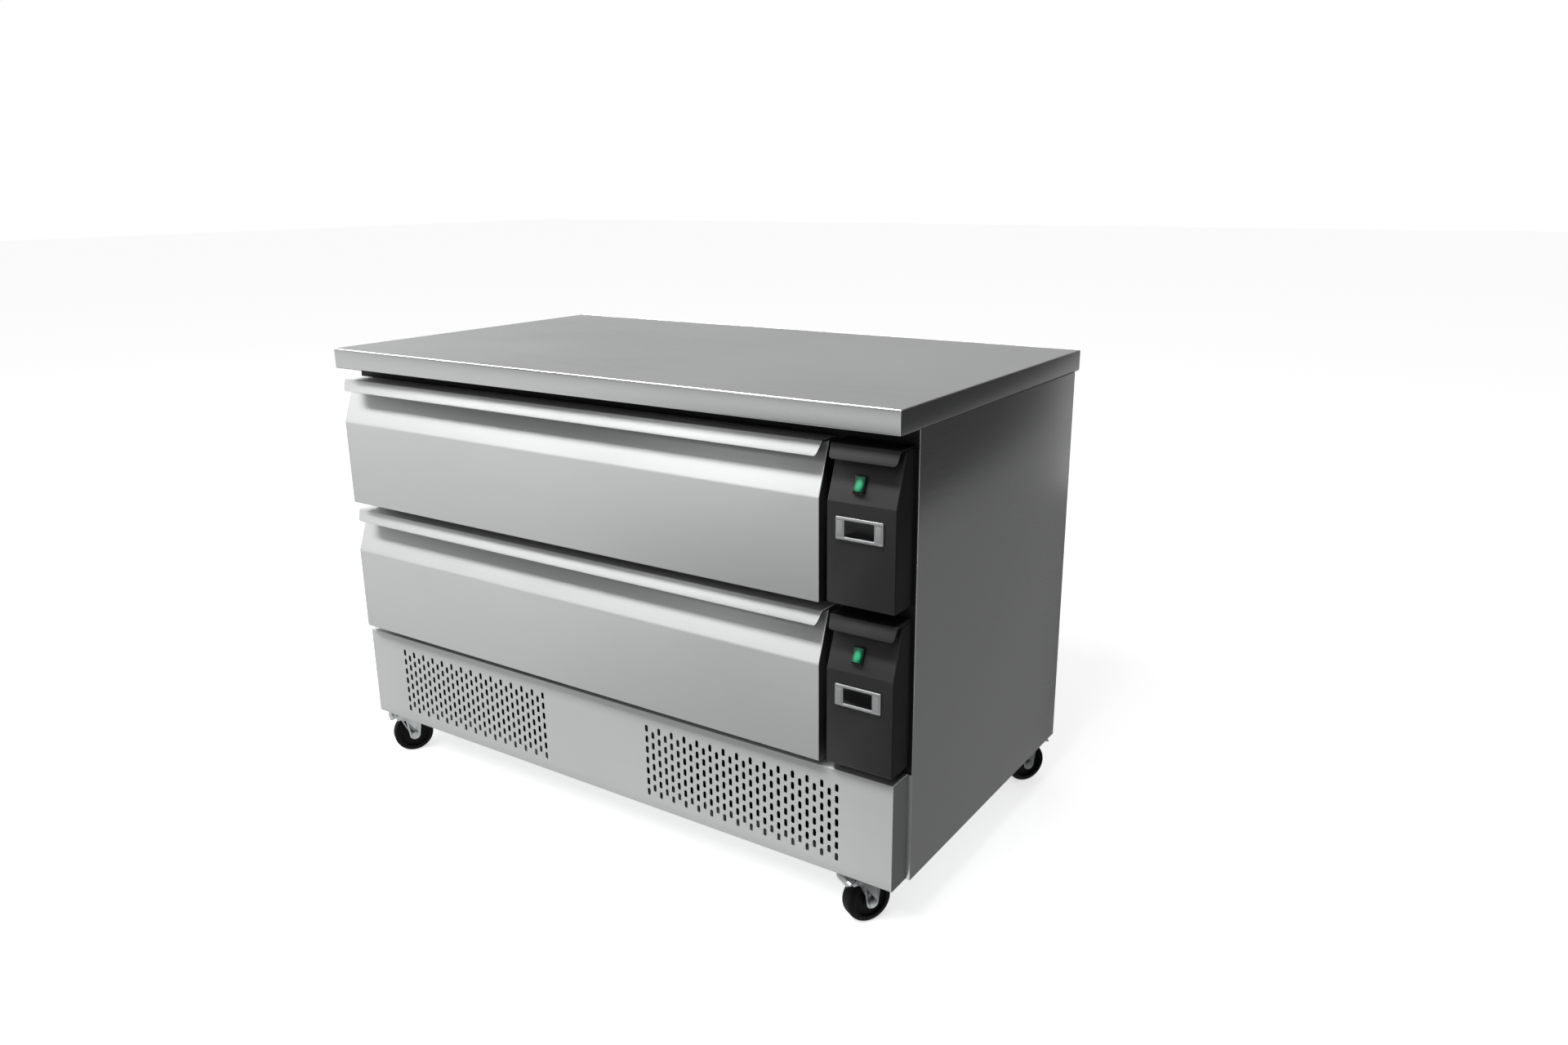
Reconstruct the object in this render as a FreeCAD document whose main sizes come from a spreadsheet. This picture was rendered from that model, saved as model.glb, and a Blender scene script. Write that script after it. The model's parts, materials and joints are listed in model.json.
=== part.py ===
import FreeCAD, Part
import math
import os
import re

import PartDesign
import Sketcher

# Undercounter fridge freezer: two wide insulated drawers, one above the other, under a steel worktop.
# Millimetres. Z is up, the front faces -Y, and the origin lies on the floor under the middle of the worktop.

SIZES = (
    # Worktop and overall size
    ("worktop_length", 1245),
    ("worktop_depth", 700),
    ("worktop_thickness", 38),
    ("worktop_edge_radius", 3),
    ("sheet_gauge", 1.5),
    # Cabinet
    ("front_depth", 59),
    ("back_overhang", 24),
    ("panel_width", 25),
    ("panel_lip", 32),
    ("frame_gauge", 2),
    ("frame_clearance", 5),
    ("service_width", 135.5),
    ("partition_width", 11),
    ("tray_gauge", 2.5),
    ("tray_flange", 18),
    ("tray_setback", 28),
    ("rear_gap", 24.5),
    ("wiring_side", 15),
    ("wiring_low", 40),
    ("wiring_high", 20),
    # Drawer fronts and control panels share one profile
    ("front_over_deck", 10),
    ("front_height", 244),
    ("drawer_gap", 21),
    ("top_gap", 23),
    ("break_height", 160),
    ("slope_setback", 30),
    ("face_setback", 3),
    ("front_gap", 2),
    ("front_inset", 6.5),
    ("front_side_gap", 1),
    ("control_gap", 2),
    ("control_wall", 2),
    ("lip_height", 22),
    ("lip_lean", 8),
    ("lip_setback", 1),
    ("lip_gauge", 3),
    ("lip_end_taper", 6),
    # Insulated tubs
    ("tub_underside", 10),
    ("tub_rim", 187),
    ("tub_side_wall", 36),
    ("tub_floor", 40),
    ("tub_front_wall", 10),
    ("tub_back_wall", 40),
    ("tub_back_gap", 39.5),
    ("liner_gauge", 1.5),
    ("gasket_inset", 9),
    ("gasket_front_inset", 1),
    ("gasket_width", 14),
    ("gasket_height", 7.5),
    # Insulated lids with their evaporators
    ("lid_gap", 0.5),
    ("recess_height", 45),
    ("recess_left", 300),
    ("recess_right", 290),
    ("recess_depth", 180),
    ("recess_back_wall", 60),
    ("evaporator_length", 380),
    ("evaporator_depth", 140),
    ("evaporator_side_gap", 12),
    ("evaporator_drop", 7),
    ("lid_fan_width", 92),
    ("lid_fan_thickness", 25),
    ("lid_fan_side_gap", 18),
    ("lid_fan_drop", 8),
    # Telescopic runners
    ("runner_depth", 19),
    ("runner_height", 44),
    ("runner_gauge", 2),
    ("runner_play", 0.6),
    ("runner_reach", 10),
    ("runner_front_gap", 6),
    ("runner_middle_height", 95),
    # Rocker switches on the slope
    ("switch_width", 20),
    ("switch_height", 28),
    ("switch_bezel", 4),
    ("switch_body_depth", 18),
    ("switch_body_wall", 1.6),
    ("switch_body_inset", 1.2),
    ("switch_hole_play", 0.2),
    ("switch_offset", 7),
    ("switch_along_slope", 28),
    ("rocker_width", 15.6),
    ("rocker_height", 22.6),
    ("rocker_thickness", 9),
    ("rocker_proud", 2.2),
    ("rocker_crown", 1.8),
    ("rocker_tilt", 8),
    ("rocker_pin_radius", 1.5),
    ("rocker_pin_play", 0.05),
    ("rocker_pin_end", 0.3),
    ("rocker_side_play", 0.4),
    ("rocker_end_play", 0.9),
    ("rocker_well", 4),
    # Temperature controllers on the upright face
    ("controller_offset", 2),
    ("controller_drop", 39.5),
    ("controller_width", 80),
    ("controller_height", 35.5),
    ("controller_bezel", 2.6),
    ("controller_body_width", 71),
    ("controller_body_height", 29),
    ("controller_body_depth", 44),
    ("window_width", 50),
    ("window_height", 28.5),
    ("window_depth", 1.4),
    ("key_width", 9),
    ("key_height", 24),
    ("key_thickness", 2.1),
    ("key_proud", 0.4),
    ("key_pocket", 2.5),
    ("key_play", 0.3),
    ("key_offset", 32.5),
    # Plinth and rear vents
    ("plinth_setback", 10),
    ("plinth_top_gap", 3.5),
    ("plinth_raise", 3),
    ("plinth_foot", 12),
    ("slot_width", 5),
    ("slot_length", 13.3),
    ("slot_column_pitch", 13.9),
    ("slot_row_pitch", 20.5),
    ("slot_first_column", 126),
    ("slot_side_margin", 98),
    ("slot_top_margin", 24),
    ("slot_bottom_margin", 20),
    # Condensing units
    ("unit_x", 320),
    ("condenser_length", 330),
    ("condenser_step", 8),
    ("condenser_depth", 40),
    ("condenser_gap", 7),
    ("condenser_fan_width", 158),
    ("condenser_fan_thickness", 38),
    ("condenser_fan_gap", 8),
    ("fan_head_room", 16),
    ("fan_shaft_radius", 3),
    ("fan_shaft_play", 0.05),
    ("fan_ring_wall", 3),
    ("fan_tip_gap", 3),
    ("fan_blade_gauge", 1.5),
    ("fan_hub_share", 0.32),
    ("compressor_radius", 72),
    ("compressor_head_room", 20),
    ("compressor_round", 34),
    ("compressor_y", 30),
    ("compressor_plate", 4),
    ("compressor_plate_width", 190),
    ("compressor_plate_depth", 130),
    # Cable gland at the back
    ("gland_x", 60),
    ("gland_over_tray", 80.5),
    ("gland_radius", 10),
    ("gland_flange_radius", 15),
    ("gland_bore", 4.5),
    ("gland_play", 0.3),
    ("gland_inside", 8),
    ("gland_outside", 9),
    ("gland_flange", 4),
    # Castors
    ("castor_head_room", 27),
    ("castor_side_gap", 1.5),
    ("castor_front_gap", 12),
    ("castor_back_gap", 18.5),
    ("castor_trail", 30),
    ("castor_front_turn", -30),
    ("castor_back_turn", 145),
    ("castor_plate_length", 84),
    ("castor_plate_width", 72),
    ("castor_plate_gauge", 4),
    ("castor_race_radius", 24),
    ("castor_race_height", 9.5),
    ("castor_pin_radius", 6),
    ("castor_pin_play", 0.05),
    ("castor_head_height", 4),
    ("castor_head_radius", 11),
    ("castor_lift", 0.4),
    ("swivel_clearance", 0.9),
    ("crown_radius", 27),
    ("crown_gauge", 4),
    ("leg_gauge", 3),
    ("leg_boss_radius", 11),
    ("leg_back", 4),
    ("leg_root", 6),
    ("leg_end", 8),
    ("leg_shoulder", 5),
    ("leg_waist", 16),
    ("leg_waist_over", 34),
    ("wheel_radius", 40),
    ("wheel_width", 30),
    ("wheel_hub_proud", 2.3),
    ("wheel_side_play", 0.7),
    ("wheel_hub_radius", 13),
    ("tread_depth", 12),
    ("wheel_web_width", 18),
    ("wheel_edge", 5),
    ("axle_radius", 4),
    ("axle_play", 0.05),
    ("axle_head_radius", 7),
    ("axle_head_height", 4),
    ("pedal_pin_out", 22),
    ("pedal_pin_over", 5),
    ("pedal_pin_radius", 2.5),
    ("pedal_play", 0.05),
    ("pedal_side_play", 1),
    ("pedal_tread_width", 46),
    ("pedal_reach", 24),
    ("pedal_gauge", 4),
    ("pedal_crest", 6),
    ("pedal_heel", 5),
    ("pedal_shoe_near", 5),
    ("pedal_shoe_far", 11),
    ("pedal_shoe_drop", 9),
    ("bolt_radius", 4),
    ("bolt_play", 0.25),
    ("bolt_head_radius", 6.5),
    ("bolt_head_height", 5),
    ("bolt_inset", 11),
    ("bolt_end", 4),
)

FAN_BLADES = 7
BLADE_TILT = 32
# Parts of a fan along its thickness or across its width, as shares of that size
MOTOR_SHARE = 0.2
ARM_SHARE = 0.06
POST_SHARE = 0.1
SHAFT_START = 0.15
SHAFT_SHARE = 0.8
BLADE_LOW = 0.12
BLADE_HIGH = 0.72
CHORD_SHARE = 0.92
# Fins and tubes of a coil
FIN_PITCH = 11
FIN_GAUGE = 1
COIL_TUBE_RADIUS = 4.5

doc = FreeCAD.newDocument("drawer_fridge_freezer")
sheet = doc.addObject("Spreadsheet::Sheet", "Sizes")
for row, (name, number) in enumerate(SIZES, start=1):
    sheet.set(f"A{row}", name.replace("_", " "))
    sheet.set(f"B{row}", str(number))
    sheet.setAlias(f"B{row}", name)
doc.recompute()
ALIASES = {name for name, _ in SIZES}


# Reading and binding sizes


def bind(text):
    """An expression written with the sheet's own words, as the document reads it."""
    return re.sub(r"[a-z][a-z0-9_]*", lambda m: f"Sizes.{m[0]}" if m[0] in ALIASES else m[0], str(text))


def value(text):
    return float(sheet.evalExpression(bind(text)))


def drive(obj, prop, text):
    obj.setExpression(prop, bind(text))


def place(obj, x=0, y=0, z=0):
    for axis, text in zip("xyz", (x, y, z)):
        drive(obj, f"Placement.Base.{axis}", text)
    return obj


# Document objects


def cuboid(label, x, y, z):
    """A box between pairs of low and high expressions."""
    obj = doc.addObject("Part::Box", label)
    obj.Label = label
    for prop, (low, high) in zip(("Length", "Width", "Height"), (x, y, z)):
        drive(obj, prop, f"({high}) - ({low})")
    return place(obj, x[0], y[0], z[0])


TURNS = {
    "x": FreeCAD.Rotation(FreeCAD.Vector(0, 1, 0), 90),
    "y": FreeCAD.Rotation(FreeCAD.Vector(1, 0, 0), -90),
    "z": FreeCAD.Rotation(),
}


def rod(label, axis, radius, centre, span):
    """A cylinder along an axis: centre gives the two other coordinates, span the low and high ends."""
    obj = doc.addObject("Part::Cylinder", label)
    obj.Label = label
    drive(obj, "Radius", radius)
    drive(obj, "Height", f"({span[1]}) - ({span[0]})")
    obj.Placement = FreeCAD.Placement(FreeCAD.Vector(), TURNS[axis])
    where = list(centre)
    where.insert("xyz".index(axis), span[0])
    return place(obj, *where)


def fuse(label, pieces):
    obj = doc.addObject("Part::MultiFuse", label)
    obj.Label = label
    obj.Shapes = pieces
    obj.Refine = True
    return obj


def cut(label, base, tools):
    """The base with every tool taken away."""
    obj = doc.addObject("Part::Cut", label)
    obj.Label = label
    obj.Base = base
    obj.Tool = tools[0] if len(tools) == 1 else fuse(f"{label}_tools", tools)
    return obj


def group(label, pieces):
    obj = doc.addObject("Part::Compound", label)
    obj.Label = label
    obj.Links = pieces
    return obj


def feature(label, shape):
    obj = doc.addObject("Part::Feature", label)
    obj.Label = label
    obj.Shape = shape
    return obj


def sketch_on(body, name, plane, points, offset="0"):
    """A closed polygon, each corner held to the origin by a bound distance."""
    sketch = body.newObject("Sketcher::SketchObject", name)
    planes = {f.Role: f for f in body.Origin.OriginFeatures}
    sketch.AttachmentSupport = [(planes[plane], "")]
    sketch.MapMode = "FlatFace"
    drive(sketch, "AttachmentOffset.Base.z", offset)
    corners = [FreeCAD.Vector(value(a), value(b), 0) for a, b in points]
    count = len(corners)
    for i in range(count):
        sketch.addGeometry(Part.LineSegment(corners[i], corners[(i + 1) % count]))
    for i in range(count):
        sketch.addConstraint(Sketcher.Constraint("Coincident", i, 2, (i + 1) % count, 1))
    for i, (a, b) in enumerate(points):
        for kind, text in (("DistanceX", a), ("DistanceY", b)):
            index = sketch.addConstraint(Sketcher.Constraint(kind, -1, 1, i, 1, value(text)))
            drive(sketch, f"Constraints[{index}]", text)
    return sketch


def prisms(label, pads):
    """A body of side profiles, each a (y, z) polygon drawn out from one x to another."""
    body = doc.addObject("PartDesign::Body", label)
    body.Label = label
    for i, (points, start, end) in enumerate(pads):
        pad = body.newObject("PartDesign::Pad", f"{label}_pad_{i}")
        pad.Profile = sketch_on(body, f"{label}_profile_{i}", "YZ_Plane", points, start)
        drive(pad, "Length", f"({end}) - ({start})")
    return body


def turned(label, points):
    """A body turned about its own X axis from a polygon of (x, radius) corners."""
    body = doc.addObject("PartDesign::Body", label)
    body.Label = label
    turn = body.newObject("PartDesign::Revolution", f"{label}_turn")
    sketch = sketch_on(body, f"{label}_outline", "XY_Plane", points)
    turn.Profile = sketch
    turn.ReferenceAxis = (sketch, ["H_Axis"])
    turn.Angle = 360
    return body


NODES = []


def keep(obj, x=0, y=0, z=0, turn=0):
    """Hands a finished sub-part to the list of nodes, at its place."""
    obj.Placement = FreeCAD.Placement(FreeCAD.Vector(), FreeCAD.Rotation(FreeCAD.Vector(0, 0, 1), turn))
    place(obj, x, y, z)
    NODES.append(obj)
    return obj


# Places worked out from the driving sizes

HALF = "(worktop_length / 2)"
FRONT_EDGE = "(-worktop_depth / 2)"
CASE_FRONT = f"({FRONT_EDGE} + front_depth)"
BACK_FACE = f"(-{FRONT_EDGE} - back_overhang)"
CASE_BACK = f"({BACK_FACE} - sheet_gauge)"
BAY_LEFT = f"(-{HALF} + panel_width)"
BAY_END = f"({HALF} - panel_width)"
BAY_RIGHT = f"({HALF} - service_width)"
FRONT_LEFT = f"(-{HALF} + front_inset)"
FRONT_RIGHT = f"({BAY_RIGHT} - front_side_gap)"
CONTROL_LEFT = f"({BAY_RIGHT} + partition_width + control_gap)"
CONTROL_RIGHT = f"({HALF} - front_inset)"
CONTROL_MIDDLE = f"({CONTROL_LEFT} + {CONTROL_RIGHT}) / 2"
SWITCH_X = f"({CONTROL_MIDDLE} - switch_offset)"
ROCKER_PIVOT = "(rocker_thickness / 2 - rocker_proud - switch_bezel)"
CONTROLLER_X = f"({CONTROL_MIDDLE} - controller_offset)"

# Heights from the floor up
TRAY_UNDER = "(2 * wheel_radius + castor_head_room)"
TRAY_TOP = f"({TRAY_UNDER} + tray_gauge)"
CROWN_TOP = f"({TRAY_UNDER} - castor_plate_gauge - castor_race_height - castor_lift)"
CASING_BOTTOM = f"({CROWN_TOP} + swivel_clearance)"
PLINTH_BOTTOM = f"({CASING_BOTTOM} + plinth_raise)"
MACHINE_BAY = "(condenser_fan_width + fan_head_room)"
DECK_UNDER = f"({TRAY_TOP} + {MACHINE_BAY})"
DECK_TOP = f"({DECK_UNDER} + sheet_gauge)"
PLINTH_TOP = f"({DECK_UNDER} - plinth_top_gap)"
LOWER_BASE = f"({DECK_TOP} + front_over_deck)"
UPPER_BASE = f"({LOWER_BASE} + front_height + drawer_gap)"
UNDER_TOP = f"({UPPER_BASE} + front_height + top_gap)"
WORKTOP_TOP = f"({UNDER_TOP} + worktop_thickness)"
LEVELS = {"upper": UPPER_BASE, "lower": LOWER_BASE}

# Depths of the fronts, tubs and lids
FRAME_FRONT = f"({CASE_FRONT} - frame_gauge)"
FACE = f"({FRONT_EDGE} + face_setback)"
FRONT_BACK = f"({FRAME_FRONT} - front_gap)"
SLOPE_TOP = f"({FACE} + slope_setback)"
LIP_FRONT = f"({FACE} + lip_setback)"
LIP_TOP = f"({LIP_FRONT} + lip_lean)"
TUB_LEFT = f"({BAY_LEFT} + runner_depth)"
TUB_RIGHT = f"({BAY_RIGHT} - runner_depth)"
TUB_BACK = f"({CASE_BACK} - tub_back_gap)"
LID_BACK = f"({CASE_BACK} - rear_gap)"
LID_UNDER = "(tub_rim + gasket_height + lid_gap)"
RECESS_TOP = f"({LID_UNDER} + recess_height)"
RECESS_BACK = f"({LID_BACK} - recess_back_wall)"
RECESS_FRONT = f"({RECESS_BACK} - recess_depth)"
RECESS_MIDDLE = f"(({RECESS_FRONT} + {RECESS_BACK}) / 2)"
CONTROLLER_MIDDLE = "(break_height - controller_drop)"

# Machine bay
CONDENSER_FRONT = f"({CASE_FRONT} + condenser_gap)"
CONDENSER_FAN_FRONT = f"({CONDENSER_FRONT} + condenser_depth + condenser_fan_gap)"
COMPRESSOR_HEIGHT = f"({MACHINE_BAY} - compressor_plate - compressor_head_room)"
TRAY_FRONT = f"({FRONT_EDGE} + tray_setback)"
GLAND_HEIGHT = f"({TRAY_TOP} + gland_over_tray)"

# Castors
CASTOR_X = f"({BAY_END} - castor_side_gap - castor_plate_width / 2)"
CASTOR_FRONT = f"({TRAY_FRONT} + castor_front_gap + castor_plate_length / 2)"
CASTOR_BACK = f"({CASE_BACK} - castor_back_gap - castor_plate_length / 2)"
HUB_WIDTH = "(wheel_width + 2 * wheel_hub_proud)"
LEG_GAP = f"({HUB_WIDTH} + 2 * wheel_side_play)"
PEDAL_WIDTH = f"({LEG_GAP} - 2 * pedal_side_play)"
PEDAL_PIN_HEIGHT = "(2 * wheel_radius + pedal_pin_over)"


# Worktop: a folded steel tray over a board


def worktop():
    across, along = (f"-{HALF}", HALF), (FRONT_EDGE, f"-{FRONT_EDGE}")
    outer = cuboid("worktop_block", across, along, (UNDER_TOP, WORKTOP_TOP))
    doc.recompute()
    top = value(WORKTOP_TOP)
    rounded = []
    for index, edge in enumerate(outer.Shape.Edges, start=1):
        heights = [v.Z for v in edge.Vertexes]
        if max(heights) > top - 0.01:
            rounded.append((index, value("worktop_edge_radius"), value("worktop_edge_radius")))
    eased = doc.addObject("Part::Fillet", "worktop_eased")
    eased.Base = outer
    eased.Edges = rounded
    inside = (
        (f"-{HALF} + sheet_gauge", f"{HALF} - sheet_gauge"),
        (f"{FRONT_EDGE} + sheet_gauge", f"-{FRONT_EDGE} - sheet_gauge"),
    )
    hollow = cuboid("worktop_hollow", *inside, (f"{UNDER_TOP} - 1", f"{WORKTOP_TOP} - sheet_gauge"))
    keep(cut("worktop_top", eased, [hollow]))
    board = cuboid("worktop_core", *inside, (UNDER_TOP, f"{WORKTOP_TOP} - sheet_gauge"))
    NODES.append(board)


# Cabinet: side panels, back, tray, deck, partition and front frame


def side_panel(label, skin, inner):
    """A folded panel: an outer skin with returned edges and lips. skin and inner are x expressions."""
    on_left = label.startswith("left")
    low, high = (skin, inner) if on_left else (inner, skin)
    y = (CASE_FRONT, CASE_BACK)
    z = (CASING_BOTTOM, UNDER_TOP)
    block = cuboid(f"{label}_block", (low, high), y, z)
    gauge = "sheet_gauge"
    void = cuboid(
        f"{label}_void",
        (f"{low} + {gauge}", f"{high} - {gauge}"),
        (f"{y[0]} + {gauge}", f"{y[1]} - {gauge}"),
        (f"{z[0]} + {gauge}", f"{z[1]} - {gauge}"),
    )
    mouth_x = (f"{high} - 2 * {gauge}", f"{high} + 1") if on_left else (f"{low} - 1", f"{low} + 2 * {gauge}")
    mouth = cuboid(
        f"{label}_mouth",
        mouth_x,
        (f"{y[0]} + panel_lip", f"{y[1]} - panel_lip"),
        (f"{z[0]} + panel_lip", f"{z[1]} - panel_lip"),
    )
    keep(cut(label, block, [void, mouth]))


def obround(x, z, width, length, y):
    """The outline of an upright slot with round ends, in the plane at y."""
    radius = width / 2
    rise = length / 2 - radius
    at = lambda dx, dz: FreeCAD.Vector(x + dx, y, z + dz)
    edges = (
        Part.LineSegment(at(radius, -rise), at(radius, rise)),
        Part.Arc(at(radius, rise), at(0, rise + radius), at(-radius, rise)),
        Part.LineSegment(at(-radius, rise), at(-radius, -rise)),
        Part.Arc(at(-radius, -rise), at(0, -rise - radius), at(radius, -rise)),
    )
    return Part.Wire([e.toShape() for e in edges])


def slot_fields(y):
    """Two fields of staggered slots: full columns, with shorter ones halfway between them."""
    wires = []
    pitch, first = value("slot_column_pitch"), value("slot_first_column")
    columns = int((value(f"{CONTROL_RIGHT} - slot_side_margin") - first) // pitch) + 1
    height = value(f"{PLINTH_TOP} - {PLINTH_BOTTOM} - slot_top_margin - slot_bottom_margin - slot_length")
    rows = int(height // value("slot_row_pitch")) + 1
    top_middle = value(f"{PLINTH_TOP} - slot_top_margin - slot_length / 2")
    for side in (-1, 1):
        for column in range(columns):
            x = side * (first + column * pitch)
            for row in range(rows - column % 2):
                drop = (row + 0.5 * (column % 2)) * value("slot_row_pitch")
                wires.append(obround(x, top_middle - drop, value("slot_width"), value("slot_length"), y))
    return wires


def slotted_plate(half_width, front, back, low, high, extra=()):
    """An upright plate with the slot fields cut through it."""
    corners = [
        FreeCAD.Vector(sx * half_width, front, z)
        for sx, z in ((-1, low), (1, low), (1, high), (-1, high), (-1, low))
    ]
    wires = [Part.makePolygon(corners)] + slot_fields(front) + list(extra)
    face = Part.makeFace(wires, "Part::FaceMakerBullseye")
    return face.extrude(FreeCAD.Vector(0, back - front, 0))


def round_outline(x, y, z, radius):
    circle = Part.Circle(FreeCAD.Vector(x, y, z), FreeCAD.Vector(0, 1, 0), radius)
    return Part.Wire([circle.toShape()])


def plinth_grille():
    front = value(f"{FRONT_EDGE} + plinth_setback")
    gauge = value("sheet_gauge")
    half, low, high = value(CONTROL_RIGHT), value(PLINTH_BOTTOM), value(PLINTH_TOP)
    deep = value(CASE_FRONT) - front
    plate = slotted_plate(half, front, front + gauge, low, high)
    returns = [
        Part.makeBox(2 * half, value("plinth_foot"), gauge, FreeCAD.Vector(-half, front, low)),
        Part.makeBox(2 * half, deep, gauge, FreeCAD.Vector(-half, front, high - gauge)),
        Part.makeBox(gauge, deep, high - low, FreeCAD.Vector(-half, front, low)),
        Part.makeBox(gauge, deep, high - low, FreeCAD.Vector(half - gauge, front, low)),
    ]
    NODES.append(feature("plinth_grille", plate.fuse(returns).removeSplitter()))


def back_panel():
    front, back = value(CASE_BACK), value(BACK_FACE)
    hole = round_outline(value("gland_x"), front, value(GLAND_HEIGHT), value("gland_radius + gland_play"))
    shape = slotted_plate(value(HALF), front, back, value(CASING_BOTTOM), value(UNDER_TOP), [hole])
    NODES.append(feature("back_panel", shape))


def cable_gland():
    centre = ("gland_x", GLAND_HEIGHT)
    inner, outer = f"{BACK_FACE} - gland_inside", f"{BACK_FACE} + gland_outside"
    stem = rod("gland_stem", "y", "gland_radius", centre, (inner, outer))
    flange_y = (BACK_FACE, f"{BACK_FACE} + gland_flange")
    flange = rod("gland_flange_disc", "y", "gland_flange_radius", centre, flange_y)
    bore = rod("gland_hole", "y", "gland_bore", centre, (f"{inner} - 1", f"{outer} + 1"))
    keep(cut("cable_gland", fuse("gland_body", [stem, flange]), [bore]))


def bolt_places():
    """The x and y of each bolt of a castor plate, about the plate's middle."""
    return [
        (f"{sx} * (castor_plate_width / 2 - bolt_inset)", f"{sy} * (castor_plate_length / 2 - bolt_inset)")
        for sx in (-1, 1)
        for sy in (-1, 1)
    ]


CASTORS = {
    "front_left": (f"-{CASTOR_X}", CASTOR_FRONT),
    "front_right": (CASTOR_X, CASTOR_FRONT),
    "back_left": (f"-{CASTOR_X}", CASTOR_BACK),
    "back_right": (CASTOR_X, CASTOR_BACK),
}


def base_tray():
    x = (BAY_LEFT, BAY_END)
    y = (TRAY_FRONT, CASE_BACK)
    block = cuboid("tray_block", x, y, (TRAY_UNDER, f"{TRAY_TOP} + tray_flange"))
    inside = cuboid(
        "tray_inside",
        (f"{x[0]} + tray_gauge", f"{x[1]} - tray_gauge"),
        (f"{y[0]} + tray_gauge", f"{y[1]} - tray_gauge"),
        (TRAY_TOP, f"{TRAY_TOP} + tray_flange + 1"),
    )
    holes = [
        rod(
            f"tray_hole_{corner}_{i}",
            "z",
            "bolt_radius + bolt_play",
            (f"{cx} + {bx}", f"{cy} + {by}"),
            (f"{TRAY_UNDER} - 1", f"{TRAY_TOP} + 1"),
        )
        for corner, (cx, cy) in CASTORS.items()
        for i, (bx, by) in enumerate(bolt_places())
    ]
    keep(cut("base_tray", block, [inside] + holes))


def machine_deck():
    x, y = (BAY_LEFT, BAY_END), (CASE_FRONT, CASE_BACK)
    NODES.append(cuboid("machine_deck", x, y, (DECK_UNDER, DECK_TOP)))


def service_partition():
    """A channel standing between the drawer bay and the service bay, open towards the service bay."""
    y = (CASE_FRONT, CASE_BACK)
    z = (DECK_TOP, UNDER_TOP)
    block = cuboid("partition_block", (BAY_RIGHT, f"{BAY_RIGHT} + partition_width"), y, z)
    hollow = cuboid(
        "partition_hollow",
        (f"{BAY_RIGHT} + sheet_gauge", f"{BAY_RIGHT} + partition_width + 1"),
        (f"{y[0]} + sheet_gauge", f"{y[1]} - sheet_gauge"),
        (f"{z[0]} + sheet_gauge", f"{z[1]} - sheet_gauge"),
    )
    keep(cut("service_partition", block, [hollow]))


def front_frame():
    """The dark frame behind the fronts, with a mouth for each tub and its runners and one for the wiring."""
    plate = cuboid(
        "frame_plate",
        (f"-{HALF} + sheet_gauge", f"{HALF} - sheet_gauge"),
        (FRAME_FRONT, CASE_FRONT),
        (f"{PLINTH_TOP} + 1", UNDER_TOP),
    )
    through = (f"{FRAME_FRONT} - 1", f"{CASE_FRONT} + 1")
    mouths = []
    for level, base in LEVELS.items():
        mouths.append(
            cuboid(
                f"{level}_tub_mouth",
                (f"{TUB_LEFT} - frame_clearance", f"{TUB_RIGHT} + frame_clearance"),
                through,
                (f"{base} + tub_underside - frame_clearance", f"{base} + {LID_UNDER} + frame_clearance"),
            )
        )
        runner_z = f"{base} + runner_middle_height"
        mouths.append(
            cuboid(
                f"{level}_runner_mouth",
                (f"{BAY_LEFT} + runner_gauge", f"{BAY_RIGHT} - runner_gauge"),
                through,
                (f"{runner_z} - runner_height / 2", f"{runner_z} + runner_height / 2"),
            )
        )
        mouths.append(
            cuboid(
                f"{level}_wiring_mouth",
                (f"{CONTROL_LEFT} + wiring_side", f"{CONTROL_RIGHT} - panel_width"),
                through,
                (f"{base} + wiring_low", f"{base} + front_height - wiring_high"),
            )
        )
    keep(cut("front_frame", plate, mouths))


# Drawer fronts and control panels


def shell_section(wall, back):
    """The bent sheet's section as (y, z) corners: bottom, face, slope, top and a lip that leans forward."""
    top = f"front_height - {wall}"
    return [
        (back, "0"),
        (FACE, "0"),
        (FACE, "break_height"),
        (SLOPE_TOP, top),
        (f"{LIP_TOP} + lip_gauge", top),
        (f"{LIP_FRONT} + lip_gauge", "front_height - lip_height"),
        (LIP_FRONT, "front_height - lip_height"),
        (LIP_TOP, "front_height"),
        (back, "front_height"),
        (back, top),
        (f"{SLOPE_TOP} + {wall}", top),
        (f"{FACE} + {wall}", "break_height"),
        (f"{FACE} + {wall}", wall),
        (back, wall),
    ]


def end_section(wall, back):
    top = f"front_height - {wall}"
    return [(back, "0"), (FACE, "0"), (FACE, "break_height"), (SLOPE_TOP, top), (back, top)]


def bent_front(label, left, right, wall, back):
    """A bent sheet front with closed ends, its lip tapered towards both ends."""
    body = prisms(
        f"{label}_sheet",
        [
            (shell_section(wall, back), left, right),
            (end_section(wall, back), left, f"{left} + {wall}"),
            (end_section(wall, back), f"{right} - {wall}", right),
        ],
    )
    top = f"front_height - {wall}"
    taper = []
    for side, (edge, inward) in {"left": (left, "+"), "right": (right, "-")}.items():
        corner = doc.addObject("PartDesign::Body", f"{label}_{side}_taper")
        pad = corner.newObject("PartDesign::Pad", f"{label}_{side}_taper_pad")
        triangle = [
            (edge, top),
            (edge, "front_height - lip_height - 1"),
            (f"{edge} {inward} lip_end_taper", "front_height - lip_height - 1"),
        ]
        before_lip = f"-({LIP_FRONT} - 1)"
        pad.Profile = sketch_on(corner, f"{label}_{side}_taper_profile", "XZ_Plane", triangle, before_lip)
        drive(pad, "Length", "lip_lean + lip_gauge + 3")
        pad.Reversed = True
        taper.append(corner)
    return cut(label, body, taper)


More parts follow.
